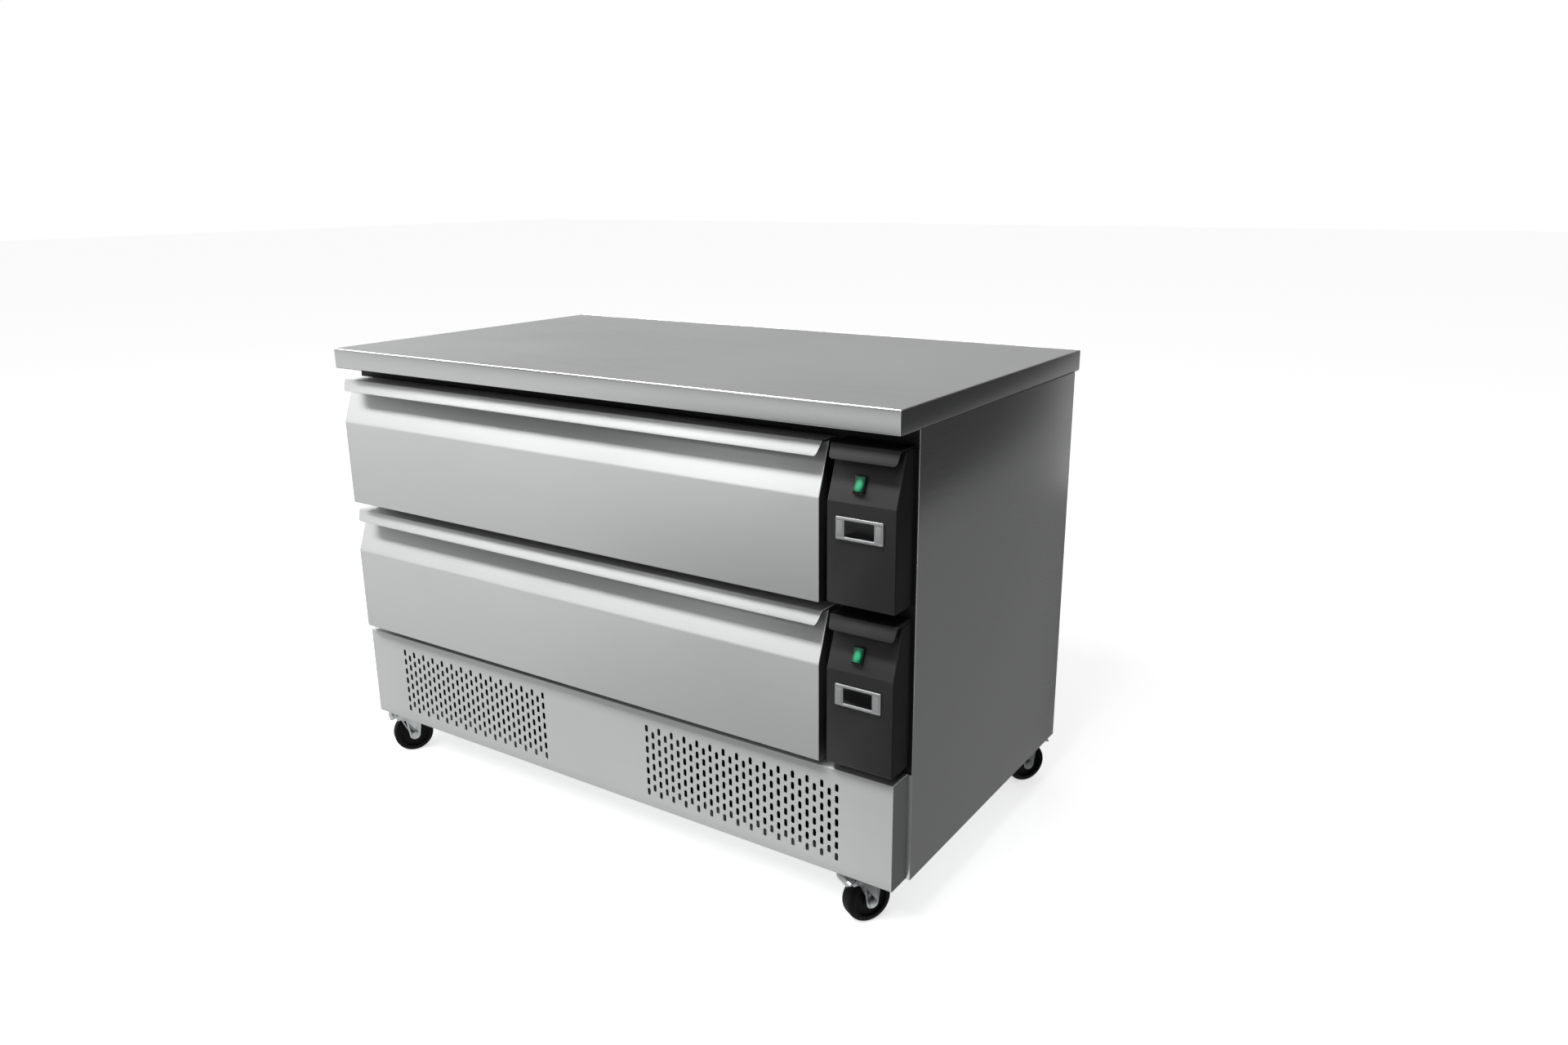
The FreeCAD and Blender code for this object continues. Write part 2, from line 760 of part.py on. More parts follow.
def drawer_front(level, base):
    skin = bent_front(f"{level}_drawer_front_skin", FRONT_LEFT, FRONT_RIGHT, "sheet_gauge", FRONT_BACK)
    keep(skin, z=base)
    wall = "sheet_gauge"
    top = f"front_height - {wall}"
    section = [
        (FRONT_BACK, wall),
        (f"{FACE} + {wall}", wall),
        (f"{FACE} + {wall}", "break_height"),
        (f"{SLOPE_TOP} + {wall}", top),
        (FRONT_BACK, top),
    ]
    span = (f"{FRONT_LEFT} + {wall}", f"{FRONT_RIGHT} - {wall}")
    core = prisms(f"{level}_drawer_front_core", [(section, *span)])
    keep(core, z=base)


def tub(level, base):
    """The insulated tub with its liner and the seal on its rim."""
    x = (TUB_LEFT, TUB_RIGHT)
    y = (FRONT_BACK, TUB_BACK)
    inside_x = (f"{TUB_LEFT} + tub_side_wall", f"{TUB_RIGHT} - tub_side_wall")
    inside_y = (f"{FRONT_BACK} + tub_front_wall", f"{TUB_BACK} - tub_back_wall")
    floor = "tub_underside + tub_floor"
    block = cuboid(f"{level}_tub_block", x, y, ("tub_underside", "tub_rim"))
    space = cuboid(f"{level}_tub_space", inside_x, inside_y, (floor, "tub_rim + 1"))
    keep(cut(f"{level}_drawer_tub", block, [space]), z=base)
    bin_block = cuboid(f"{level}_bin_block", inside_x, inside_y, (floor, "tub_rim"))
    bin_space = cuboid(
        f"{level}_bin_space",
        (f"{inside_x[0]} + liner_gauge", f"{inside_x[1]} - liner_gauge"),
        (f"{inside_y[0]} + liner_gauge", f"{inside_y[1]} - liner_gauge"),
        (f"{floor} + liner_gauge", "tub_rim + 1"),
    )
    keep(cut(f"{level}_drawer_liner", bin_block, [bin_space]), z=base)
    ring_x = (f"{x[0]} + gasket_inset", f"{x[1]} - gasket_inset")
    ring_y = (f"{y[0]} + gasket_front_inset", f"{y[1]} - gasket_inset")
    ring = cuboid(f"{level}_ring_block", ring_x, ring_y, ("tub_rim", "tub_rim + gasket_height"))
    gap = cuboid(
        f"{level}_ring_space",
        (f"{ring_x[0]} + gasket_width", f"{ring_x[1]} - gasket_width"),
        (inside_y[0], f"{ring_y[1]} - gasket_width"),
        ("tub_rim - 1", "tub_rim + gasket_height + 1"),
    )
    keep(cut(f"{level}_drawer_gasket", ring, [gap]), z=base)


def channel(label, wall_x, sign, start, depth, half_height, opens_to_tub):
    """One runner member: a channel whose web stands off the bay wall by start and runs back along Y."""
    near = f"{wall_x} {sign} ({start})"
    far = f"{wall_x} {sign} ({start} + {depth})"
    low, high = (near, far) if sign == "+" else (far, near)
    y = (f"{CASE_FRONT} + runner_front_gap", LID_BACK)
    z = (f"runner_middle_height - {half_height}", f"runner_middle_height + {half_height}")
    block = cuboid(f"{label}_block", (low, high), y, z)
    web_low = opens_to_tub == (sign == "+")
    hollow_x = (f"{low} - 1", f"{high} - runner_gauge")
    if web_low:
        hollow_x = (f"{low} + runner_gauge", f"{high} + 1")
    hollow = cuboid(
        f"{label}_hollow",
        hollow_x,
        (f"{y[0]} - 1", f"{y[1]} + 1"),
        (f"{z[0]} + runner_gauge", f"{z[1]} - runner_gauge"),
    )
    return cut(label, block, [hollow])


def runners(level, base, fixed):
    """Three nested members each side: fixed, middle and inner."""
    step = "(runner_gauge + runner_play)"
    outer_half = "runner_height / 2"
    middle_half = f"({outer_half} - {step})"
    inner_half = f"({outer_half} - 2 * {step})"
    sides = {"left": (BAY_LEFT, "+"), "right": (BAY_RIGHT, "-")}
    middle, inner = [], []
    for side, (wall_x, sign) in sides.items():
        name = f"{level}_{side}"
        deep = "runner_gauge + runner_reach"
        outer = channel(f"{name}_fixed_runner", wall_x, sign, "0", deep, outer_half, True)
        place(outer, z=base)
        fixed.append(outer)
        middle.append(channel(f"{name}_middle_runner", wall_x, sign, step, deep, middle_half, True))
        inner.append(
            channel(
                f"{name}_inner_runner",
                wall_x,
                sign,
                f"2 * {step} + runner_gauge",
                f"runner_depth - 2 * {step} - runner_gauge",
                inner_half,
                False,
            )
        )
    keep(group(f"{level}_middle_runners", middle), z=base)
    keep(group(f"{level}_inner_runners", inner), z=base)


# Lids, evaporators and fans


def lid(level, base):
    block = cuboid(
        f"{level}_lid_block",
        (BAY_LEFT, BAY_RIGHT),
        (CASE_FRONT, LID_BACK),
        (LID_UNDER, "front_height + top_gap"),
    )
    recess = cuboid(
        f"{level}_lid_recess",
        ("-recess_left", "recess_right"),
        (RECESS_FRONT, RECESS_BACK),
        (f"{LID_UNDER} - 1", RECESS_TOP),
    )
    return place(cut(f"{level}_lid", block, [recess]), z=base)


def finned_coil(label, length, depth, height, rows):
    """Fins threaded on straight tubes, all along X, with its low front left corner at the origin."""
    count = int(length // FIN_PITCH)
    first = (length - (count - 1) * FIN_PITCH - FIN_GAUGE) / 2
    corners = [FreeCAD.Vector(first + i * FIN_PITCH, 0, 0) for i in range(count)]
    fins = [Part.makeBox(FIN_GAUGE, depth, height, corner) for corner in corners]
    columns = max(1, int(depth // 36))
    tubes = [
        Part.makeCylinder(
            COIL_TUBE_RADIUS,
            length,
            FreeCAD.Vector(0, depth * (c + 0.5) / columns, height * (r + 0.5) / rows),
            FreeCAD.Vector(1, 0, 0),
        )
        for c in range(columns)
        for r in range(rows)
    ]
    return feature(label, tubes[0].fuse(tubes[1:] + fins))


def fan_frame(label, width, thickness, post):
    """A square frame round the blades, with the motor on arms at its back and a shaft for the blades.

    The fan blows along -Z from the origin at the middle of its front; posts behind it reach what carries it.
    """
    half = width / 2
    bore = half - value("fan_ring_wall")
    hub = width * value("fan_hub_share") / 2
    motor = thickness * MOTOR_SHARE
    block = Part.makeBox(width, width, thickness, FreeCAD.Vector(-half, -half, 0))
    block = block.cut(Part.makeCylinder(bore, thickness + 2, FreeCAD.Vector(0, 0, -1)))
    arm = width * ARM_SHARE
    arms = []
    for k in range(3):
        bar = Part.makeBox(bore + 2, arm, motor, FreeCAD.Vector(0, -arm / 2, thickness - motor))
        bar.rotate(FreeCAD.Vector(), FreeCAD.Vector(0, 0, 1), 30 + 120 * k)
        arms.append(bar)
    can = Part.makeCylinder(hub, motor, FreeCAD.Vector(0, 0, thickness - motor))
    shaft_start = FreeCAD.Vector(0, 0, thickness * SHAFT_START)
    shaft = Part.makeCylinder(value("fan_shaft_radius"), thickness * SHAFT_SHARE, shaft_start)
    pieces = arms + [can, shaft]
    if post:
        side = width * POST_SHARE
        for sx in (-half, half - side):
            for sy in (-half, half - side):
                pieces.append(Part.makeBox(side, side, post, FreeCAD.Vector(sx, sy, thickness)))
    return feature(label, block.fuse(pieces).removeSplitter())


def fan_blades(label, width, thickness):
    """The hub and blades that turn on the frame's shaft, in the frame's own coordinates."""
    hub = width * value("fan_hub_share") / 2
    tip = width / 2 - value("fan_ring_wall + fan_tip_gap")
    low, high = thickness * BLADE_LOW, thickness * BLADE_HIGH
    chord = (high - low) / math.sin(math.radians(BLADE_TILT)) * CHORD_SHARE
    gauge = value("fan_blade_gauge")
    root = 2 * gauge
    middle = (low + high) / 2
    blades = []
    for k in range(FAN_BLADES):
        corner = FreeCAD.Vector(hub - root, -chord / 2, -gauge / 2)
        blade = Part.makeBox(tip - hub + root, chord, gauge, corner)
        blade.rotate(FreeCAD.Vector(), FreeCAD.Vector(1, 0, 0), BLADE_TILT)
        blade.translate(FreeCAD.Vector(0, 0, middle))
        blade.rotate(FreeCAD.Vector(), FreeCAD.Vector(0, 0, 1), 360 / FAN_BLADES * k)
        blades.append(blade)
    disc = Part.makeCylinder(hub, high - low, FreeCAD.Vector(0, 0, low))
    swept = Part.makeCylinder(tip, high - low, FreeCAD.Vector(0, 0, low))
    bore = Part.makeCylinder(value("fan_shaft_radius + fan_shaft_play"), thickness, FreeCAD.Vector())
    return feature(label, disc.fuse(blades).common(swept).cut(bore).removeSplitter())


def cold_side():
    """Lids, evaporators and lid fans of both drawers."""
    width, thickness = value("lid_fan_width"), value("lid_fan_thickness")
    post = value("recess_height - lid_fan_drop") - thickness
    coil_height = "(recess_height - evaporator_drop)"
    fan_x = "recess_right - lid_fan_side_gap - lid_fan_width / 2"
    lids, coils, frames = [], [], []
    for level, base in LEVELS.items():
        lids.append(lid(level, base))
        coil = finned_coil(
            f"{level}_evaporator",
            value("evaporator_length"),
            value("evaporator_depth"),
            value(coil_height),
            1,
        )
        place(
            coil,
            "-recess_left + evaporator_side_gap",
            f"{RECESS_MIDDLE} - evaporator_depth / 2",
            f"{base} + {RECESS_TOP} - {coil_height}",
        )
        coils.append(coil)
        fan_at = (fan_x, RECESS_MIDDLE, f"{base} + {LID_UNDER} + lid_fan_drop")
        frames.append(place(fan_frame(f"{level}_lid_fan_frame", width, thickness, post), *fan_at))
        keep(fan_blades(f"{level}_lid_fan", width, thickness), *fan_at)
    keep(group("insulated_lids", lids))
    keep(group("evaporators", coils))
    return frames


# Condensing units behind the plinth

STAND_UP = FreeCAD.Rotation(FreeCAD.Vector(1, 0, 0), -90)


def condensing_units():
    width, thickness = value("condenser_fan_width"), value("condenser_fan_thickness")
    coils, frames, pumps = [], [], []
    for side, x in {"left": "-unit_x", "right": "unit_x"}.items():
        coil = finned_coil(
            f"{side}_condenser",
            value("condenser_length"),
            value("condenser_depth"),
            value("condenser_fan_width - condenser_step"),
            4,
        )
        coils.append(place(coil, f"{x} - condenser_length / 2", CONDENSER_FRONT, TRAY_TOP))
        centre_z = f"{TRAY_TOP} + condenser_fan_width / 2"
        frame = fan_frame(f"{side}_condenser_fan_frame", width, thickness, 0)
        blades = fan_blades(f"{side}_condenser_fan", width, thickness)
        NODES.append(blades)
        for piece in (frame, blades):
            piece.Placement = FreeCAD.Placement(FreeCAD.Vector(), STAND_UP)
            place(piece, x, CONDENSER_FAN_FRONT, centre_z)
        frames.append(frame)
        pumps.append(compressor(side, x))
    keep(group("condensers", coils))
    keep(group("compressors", pumps))
    return frames


def compressor(side, x):
    """A sealed pot with rounded ends on its foot plate."""
    foot_top = f"{TRAY_TOP} + compressor_plate"
    pot_z = (foot_top, f"{foot_top} + {COMPRESSOR_HEIGHT}")
    pot = rod(f"{side}_pot", "z", "compressor_radius", (x, "compressor_y"), pot_z)
    doc.recompute()
    rounded = doc.addObject("Part::Fillet", f"{side}_pot_rounded")
    rounded.Base = pot
    radius = value("compressor_round")
    rounded.Edges = [
        (i, radius, radius) for i, e in enumerate(pot.Shape.Edges, start=1) if e.Length > 2 * radius * math.pi
    ]
    foot = cuboid(
        f"{side}_foot",
        (f"{x} - compressor_plate_width / 2", f"{x} + compressor_plate_width / 2"),
        ("compressor_y - compressor_plate_depth / 2", "compressor_y + compressor_plate_depth / 2"),
        (TRAY_TOP, foot_top),
    )
    return fuse(f"{side}_compressor", [rounded, foot])


# Controls: rocker switch on the slope, controller with two keys on the face


def switch_place():
    """Where the switch's face meets the slope, and the slope's lean back from upright."""
    lean = math.atan2(value("slope_setback"), value("front_height - sheet_gauge - break_height"))
    along = value("switch_along_slope")
    y = value(FACE) + along * math.sin(lean)
    z = value("break_height") + along * math.cos(lean)
    return y, z, math.degrees(lean)


def lay_on_slope(obj, base):
    """Turns a piece drawn on the upright plane to lie on the slope."""
    y, z, lean = switch_place()
    obj.Placement = FreeCAD.Placement(FreeCAD.Vector(), FreeCAD.Rotation(FreeCAD.Vector(1, 0, 0), -lean))
    return place(obj, SWITCH_X, y, f"{base} + {z}")


def switch(level, base):
    """A housing with its bezel proud of the slope, and the rocker on its pins in front of it."""
    half_w, half_h = "switch_width / 2", "switch_height / 2"
    wall = "switch_body_wall"
    bezel = cuboid(
        f"{level}_switch_bezel", (f"-{half_w}", half_w), ("-switch_bezel", "0"), (f"-{half_h}", half_h)
    )
    body = cuboid(
        f"{level}_switch_body",
        (f"-{half_w} + switch_body_inset", f"{half_w} - switch_body_inset"),
        ("-switch_bezel", "switch_body_depth"),
        (f"-{half_h} + switch_body_inset", f"{half_h} - switch_body_inset"),
    )
    well = cuboid(
        f"{level}_switch_well",
        ("-rocker_width / 2 - rocker_side_play", "rocker_width / 2 + rocker_side_play"),
        ("-switch_bezel - 1", f"{ROCKER_PIVOT} + rocker_thickness / 2 + rocker_well"),
        ("-rocker_height / 2 - rocker_end_play", "rocker_height / 2 + rocker_end_play"),
    )
    bearing = rod(
        f"{level}_switch_bearing",
        "x",
        "rocker_pin_radius + rocker_pin_play",
        (ROCKER_PIVOT, "0"),
        (f"-rocker_width / 2 - {wall}", f"rocker_width / 2 + {wall}"),
    )
    housing = cut(f"{level}_switch_housing", fuse(f"{level}_switch_block", [bezel, body]), [well, bearing])
    lay_on_slope(housing, base)
    half = "rocker_height / 2"
    section = [
        ("-rocker_thickness / 2", f"-{half}"),
        ("-rocker_thickness / 2 + rocker_crown", "0"),
        ("-rocker_thickness / 2", half),
        ("rocker_thickness / 2", half),
        ("rocker_thickness / 2", f"-{half}"),
    ]
    paddle = prisms(f"{level}_rocker_paddle", [(section, "-rocker_width / 2", "rocker_width / 2")])
    pin = rod(
        f"{level}_rocker_pin",
        "x",
        "rocker_pin_radius",
        ("0", "0"),
        (f"-rocker_width / 2 - {wall} + rocker_pin_end", f"rocker_width / 2 + {wall} - rocker_pin_end"),
    )
    rocker = fuse(f"{level}_rocker", [paddle, pin])
    y, z, lean = switch_place()
    inset = value(ROCKER_PIVOT)
    rocker.Placement = FreeCAD.Placement(
        FreeCAD.Vector(), FreeCAD.Rotation(FreeCAD.Vector(1, 0, 0), -lean - value("rocker_tilt"))
    )
    sink_y = inset * math.cos(math.radians(lean))
    sink_z = -inset * math.sin(math.radians(lean))
    place(rocker, SWITCH_X, y + sink_y, f"{base} + {z + sink_z}")
    NODES.append(rocker)
    return housing


def controller(level, base):
    """A bezel and case in one, a window in its middle and a key on each side."""
    half_w, half_h = "controller_width / 2", "controller_height / 2"
    front = f"{FACE} - controller_bezel"
    mid = CONTROLLER_MIDDLE
    bezel = cuboid(
        f"{level}_bezel",
        (f"{CONTROLLER_X} - {half_w}", f"{CONTROLLER_X} + {half_w}"),
        (front, FACE),
        (f"{mid} - {half_h}", f"{mid} + {half_h}"),
    )
    case = cuboid(
        f"{level}_case",
        (f"{CONTROLLER_X} - controller_body_width / 2", f"{CONTROLLER_X} + controller_body_width / 2"),
        (front, f"{FACE} + controller_body_depth"),
        (f"{mid} - controller_body_height / 2", f"{mid} + controller_body_height / 2"),
    )
    window_x = (f"{CONTROLLER_X} - window_width / 2", f"{CONTROLLER_X} + window_width / 2")
    window_z = (f"{mid} - window_height / 2", f"{mid} + window_height / 2")
    glass = cuboid(f"{level}_window", window_x, (front, f"{front} + window_depth"), window_z)
    bed = cuboid(f"{level}_window_bed", window_x, (f"{front} - 1", f"{front} + window_depth"), window_z)
    pockets = [bed]
    for side, sign in {"left": "-", "right": "+"}.items():
        centre = f"{CONTROLLER_X} {sign} key_offset"
        pockets.append(
            cuboid(
                f"{level}_{side}_key_pocket",
                (f"{centre} - key_width / 2 - key_play", f"{centre} + key_width / 2 + key_play"),
                (f"{front} - 1", f"{front} + key_pocket"),
                (f"{mid} - key_height / 2 - key_play", f"{mid} + key_height / 2 + key_play"),
            )
        )
        key = cuboid(
            f"{level}_{side}_key",
            (f"{centre} - key_width / 2", f"{centre} + key_width / 2"),
            (f"{front} - key_proud", f"{front} - key_proud + key_thickness"),
            (f"{base} + {mid} - key_height / 2", f"{base} + {mid} + key_height / 2"),
        )
        NODES.append(key)
    holder = cut(f"{level}_controller_case", fuse(f"{level}_controller_block", [bezel, case]), pockets)
    place(holder, z=base)
    place(glass, window_x[0], front, f"{base} + {window_z[0]}")
    return holder, glass


def control_panel(level, base):
    """The dark front of the service bay, cut for its switch and its controller."""
    shell = bent_front(f"{level}_control_front", CONTROL_LEFT, CONTROL_RIGHT, "control_wall", FRAME_FRONT)
    inset = "switch_body_inset - switch_hole_play"
    half_w, half_h = f"(switch_width / 2 - ({inset}))", f"(switch_height / 2 - ({inset}))"
    switch_hole = cuboid(
        f"{level}_switch_hole",
        (f"-{half_w}", half_w),
        ("-2 * control_wall", "4 * control_wall"),
        (f"-{half_h}", half_h),
    )
    carrier = group(f"{level}_switch_hole_turned", [switch_hole])
    lay_on_slope(carrier, "0")
    mid = CONTROLLER_MIDDLE
    controller_hole = cuboid(
        f"{level}_controller_hole",
        (f"{CONTROLLER_X} - controller_body_width / 2", f"{CONTROLLER_X} + controller_body_width / 2"),
        (f"{FACE} - 1", f"{FACE} + control_wall + 1"),
        (f"{mid} - controller_body_height / 2", f"{mid} + controller_body_height / 2"),
    )
    keep(cut(f"{level}_control_panel", shell, [carrier, controller_hole]), z=base)


# Castors: plate and pin under the tray, swivelling fork, wheel, and brake pedal


def castor_plate(corner, x, y):
    """The bolted plate with its race, and the pin that carries the fork."""
    half_l, half_w = "castor_plate_length / 2", "castor_plate_width / 2"
    low = f"({TRAY_UNDER} - castor_plate_gauge)"
    plate = cuboid(f"{corner}_plate", (f"-{half_w}", half_w), (f"-{half_l}", half_l), (low, TRAY_UNDER))
    race_low = f"({low} - castor_race_height)"
    race = rod(f"{corner}_race", "z", "castor_race_radius", ("0", "0"), (race_low, low))
    pin_low = f"({race_low} - crown_gauge - 2 * castor_lift)"
    pin = rod(f"{corner}_king_pin", "z", "castor_pin_radius", ("0", "0"), (pin_low, low))
    head_z = (f"{pin_low} - castor_head_height", pin_low)
    head = rod(f"{corner}_king_pin_head", "z", "castor_head_radius", ("0", "0"), head_z)
    through = (f"{low} - 1", f"{TRAY_UNDER} + 1")
    holes = [
        rod(f"{corner}_plate_hole_{i}", "z", "bolt_radius + bolt_play", bolt_at, through)
        for i, bolt_at in enumerate(bolt_places())
    ]
    whole = cut(f"{corner}_castor_plate", fuse(f"{corner}_plate_block", [plate, race, pin, head]), holes)
    return place(whole, x, y)


def castor_bolts(corner, x, y):
    low = f"({TRAY_UNDER} - castor_plate_gauge)"
    bolts = []
    for i, bolt_at in enumerate(bolt_places()):
        name = f"{corner}_bolt_{i}"
        shank = rod(f"{name}_shank", "z", "bolt_radius", bolt_at, (low, f"{TRAY_TOP} + bolt_end"))
        head = rod(f"{name}_head", "z", "bolt_head_radius", bolt_at, (f"{low} - bolt_head_height", low))
        bolts.append(place(fuse(name, [shank, head]), x, y))
    return bolts


def leg_section():
    """One fork leg as (y, z) corners: wide under the crown, drawn in at a waist and narrow at the axle."""
    out = "castor_trail + pedal_pin_out + leg_end"
    shoulder = f"{PEDAL_PIN_HEIGHT} - leg_shoulder"
    return [
        ("crown_radius - leg_back", CROWN_TOP),
        ("crown_radius - leg_back", f"{CROWN_TOP} - crown_gauge - leg_root"),
        ("-castor_trail + leg_waist", "wheel_radius + leg_waist_over"),
        ("-castor_trail + leg_boss_radius", "wheel_radius"),
        ("-castor_trail - leg_boss_radius", "wheel_radius"),
        ("-castor_trail - leg_waist", "wheel_radius + leg_waist_over"),
        (f"-({out})", shoulder),
        (f"-({out})", CROWN_TOP),
    ]


def fork(corner, x, y, turn):
    """Two legs under a round crown, with the axle and the pedal's pin through them."""
    inner, outer = f"{LEG_GAP} / 2", f"({LEG_GAP} / 2 + leg_gauge)"
    axle_at = ("-castor_trail", "wheel_radius")
    pieces = []
    for side, span in {"low": (f"-{outer}", f"-{inner}"), "high": (inner, outer)}.items():
        pieces.append(prisms(f"{corner}_{side}_leg", [(leg_section(), *span)]))
        pieces.append(rod(f"{corner}_{side}_boss", "x", "leg_boss_radius", axle_at, span))
    crown = rod(f"{corner}_crown", "z", "crown_radius", ("0", "0"), (f"{CROWN_TOP} - crown_gauge", CROWN_TOP))
    pieces.append(crown)
    across = (f"-{outer} - 1", f"{outer} + 1")
    holes = [
        rod(f"{corner}_axle_hole", "x", "axle_radius + axle_play", axle_at, across),
        rod(
            f"{corner}_pin_hole",
            "z",
            "castor_pin_radius + castor_pin_play",
            ("0", "0"),
            (f"{CROWN_TOP} - crown_gauge - 1", f"{CROWN_TOP} + 1"),
        ),
    ]
    pin_at = ("-castor_trail - pedal_pin_out", PEDAL_PIN_HEIGHT)
    holes.append(rod(f"{corner}_pedal_hole", "x", "pedal_pin_radius + pedal_play", pin_at, across))
    sheet_fork = cut(f"{corner}_fork_sheet", fuse(f"{corner}_fork_block", pieces), holes)
    pedal_pin = rod(f"{corner}_pedal_pin", "x", "pedal_pin_radius", pin_at, across)
    keep(group(f"{corner}_castor_fork", [sheet_fork, axle(corner, outer, axle_at), pedal_pin]), x, y, 0, turn)


def axle(corner, outer, axle_at):
    """The bolt through both legs and the wheel, with a head and a nut outside the legs."""
    shank = rod(f"{corner}_axle_shank", "x", "axle_radius", axle_at, (f"-{outer}", outer))
    head_x = (f"-{outer} - axle_head_height", f"-{outer}")
    nut_x = (outer, f"{outer} + axle_head_height")
    head = rod(f"{corner}_axle_head", "x", "axle_head_radius", axle_at, head_x)
    nut = rod(f"{corner}_axle_nut", "x", "axle_head_radius", axle_at, nut_x)
    return fuse(f"{corner}_axle", [shank, head, nut])


def wheel(corner, x, y, turn):
    """A one-piece wheel: hub, thin web and a rounded tread."""
    hub, web, rim = f"{HUB_WIDTH} / 2", "wheel_web_width / 2", "wheel_width / 2"
    tread, inner = "wheel_radius", "wheel_radius - tread_depth"
    right = [
        (hub, "axle_radius + axle_play"),
        (hub, "wheel_hub_radius"),
        (web, "wheel_hub_radius"),
        (web, inner),
        (rim, inner),
        (rim, f"{tread} - wheel_edge"),
        (f"{rim} - wheel_edge * 0.3", f"{tread} - wheel_edge * 0.3"),
        (f"{rim} - wheel_edge", tread),
    ]
    outline = right + [(f"-({a})", b) for a, b in reversed(right)]
    body = turned(f"{corner}_wheel_body", outline)
    body.Placement = FreeCAD.Placement(FreeCAD.Vector(), FreeCAD.Rotation())
    place(body, 0, "-castor_trail", "wheel_radius")
    keep(group(f"{corner}_castor_wheel", [body]), x, y, 0, turn)


def pedal(corner, x, y, turn):
    """A foot plate on the pedal pin, with a shoe below it over the tread."""
    out = lambda u: f"-castor_trail - pedal_pin_out - ({u})"
    up = lambda v: f"{PEDAL_PIN_HEIGHT} + ({v})"
    lever = [
        (out("-pedal_heel"), up("pedal_gauge")),
        (out("pedal_heel - 2"), up("pedal_crest")),
        (out("pedal_reach"), up("pedal_crest - 5")),
        (out("pedal_reach"), up("1 - pedal_gauge")),
        (out("pedal_shoe_far"), up("0")),
        (out("pedal_shoe_far"), up("-pedal_shoe_drop")),
        (out("pedal_shoe_near"), up("-pedal_shoe_drop")),
        (out("0"), up("2.5 - pedal_shoe_drop")),
        (out("-pedal_heel - 1"), up("1 - pedal_gauge")),
    ]
    tread = [
        (out("pedal_shoe_far"), up("pedal_crest - 1")),
        (out("pedal_reach"), up("pedal_crest - 5")),
        (out("pedal_reach"), up("1 - pedal_gauge")),
        (out("pedal_shoe_far"), up("pedal_gauge / 5")),
    ]
    half, wide = f"{PEDAL_WIDTH} / 2", "pedal_tread_width / 2"
    plate = prisms(f"{corner}_pedal_plate", [(lever, f"-{half}", half), (tread, f"-{wide}", wide)])
    hole = rod(
        f"{corner}_pedal_bore",
        "x",
        "pedal_pin_radius + pedal_play",
        ("-castor_trail - pedal_pin_out", PEDAL_PIN_HEIGHT),
        (f"-{half} - 1", f"{half} + 1"),
    )
    keep(cut(f"{corner}_brake_pedal", plate, [hole]), x, y, 0, turn)


def castors():
    plates, bolts = [], []
    for corner, (x, y) in CASTORS.items():
        turn = value("castor_front_turn" if corner.startswith("front") else "castor_back_turn")
        plates.append(castor_plate(corner, x, y))
        bolts += castor_bolts(corner, x, y)
        fork(corner, x, y, turn)
        wheel(corner, x, y, turn)
        pedal(corner, x, y, turn)
    keep(group("castor_plates", plates))
    keep(group("castor_bolts", bolts))


# The whole assembly

worktop()
side_panel("left_side_panel", f"(-{HALF})", BAY_LEFT)
side_panel("right_side_panel", HALF, BAY_END)
back_panel()
base_tray()
machine_deck()
service_partition()
front_frame()
plinth_grille()
cable_gland()
fixed_runners, housings, cases, windows = [], [], [], []
for level, base in LEVELS.items():
    drawer_front(level, base)
    tub(level, base)
    runners(level, base, fixed_runners)
    control_panel(level, base)
    housings.append(switch(level, base))
    case, glass = controller(level, base)
    cases.append(case)
    windows.append(glass)
keep(group("fixed_runners", fixed_runners))
keep(group("switch_housings", housings))
keep(group("controller_cases", cases))
keep(group("display_windows", windows))
keep(group("fan_frames", cold_side() + condensing_units()))
castors()
doc.recompute()

failed = [o.Name for o in doc.Objects if "Invalid" in o.State or "Error" in o.State]
if failed:
    raise RuntimeError(f"not built: {failed}")
os.makedirs("parts", exist_ok=True)
for node in NODES:
    if node.Shape.isNull() or not node.Shape.isValid():
        raise RuntimeError(f"bad shape: {node.Label}")
for node in NODES:
    node.Shape.exportStep(f"parts/{node.Label}.step")
print(len(NODES), "nodes")
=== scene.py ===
import json
import math

import bmesh
import bpy
from bpy.props import FloatProperty, FloatVectorProperty, IntProperty, PointerProperty
from bpy.types import Operator, Panel, PropertyGroup
from mathutils import Matrix, Vector


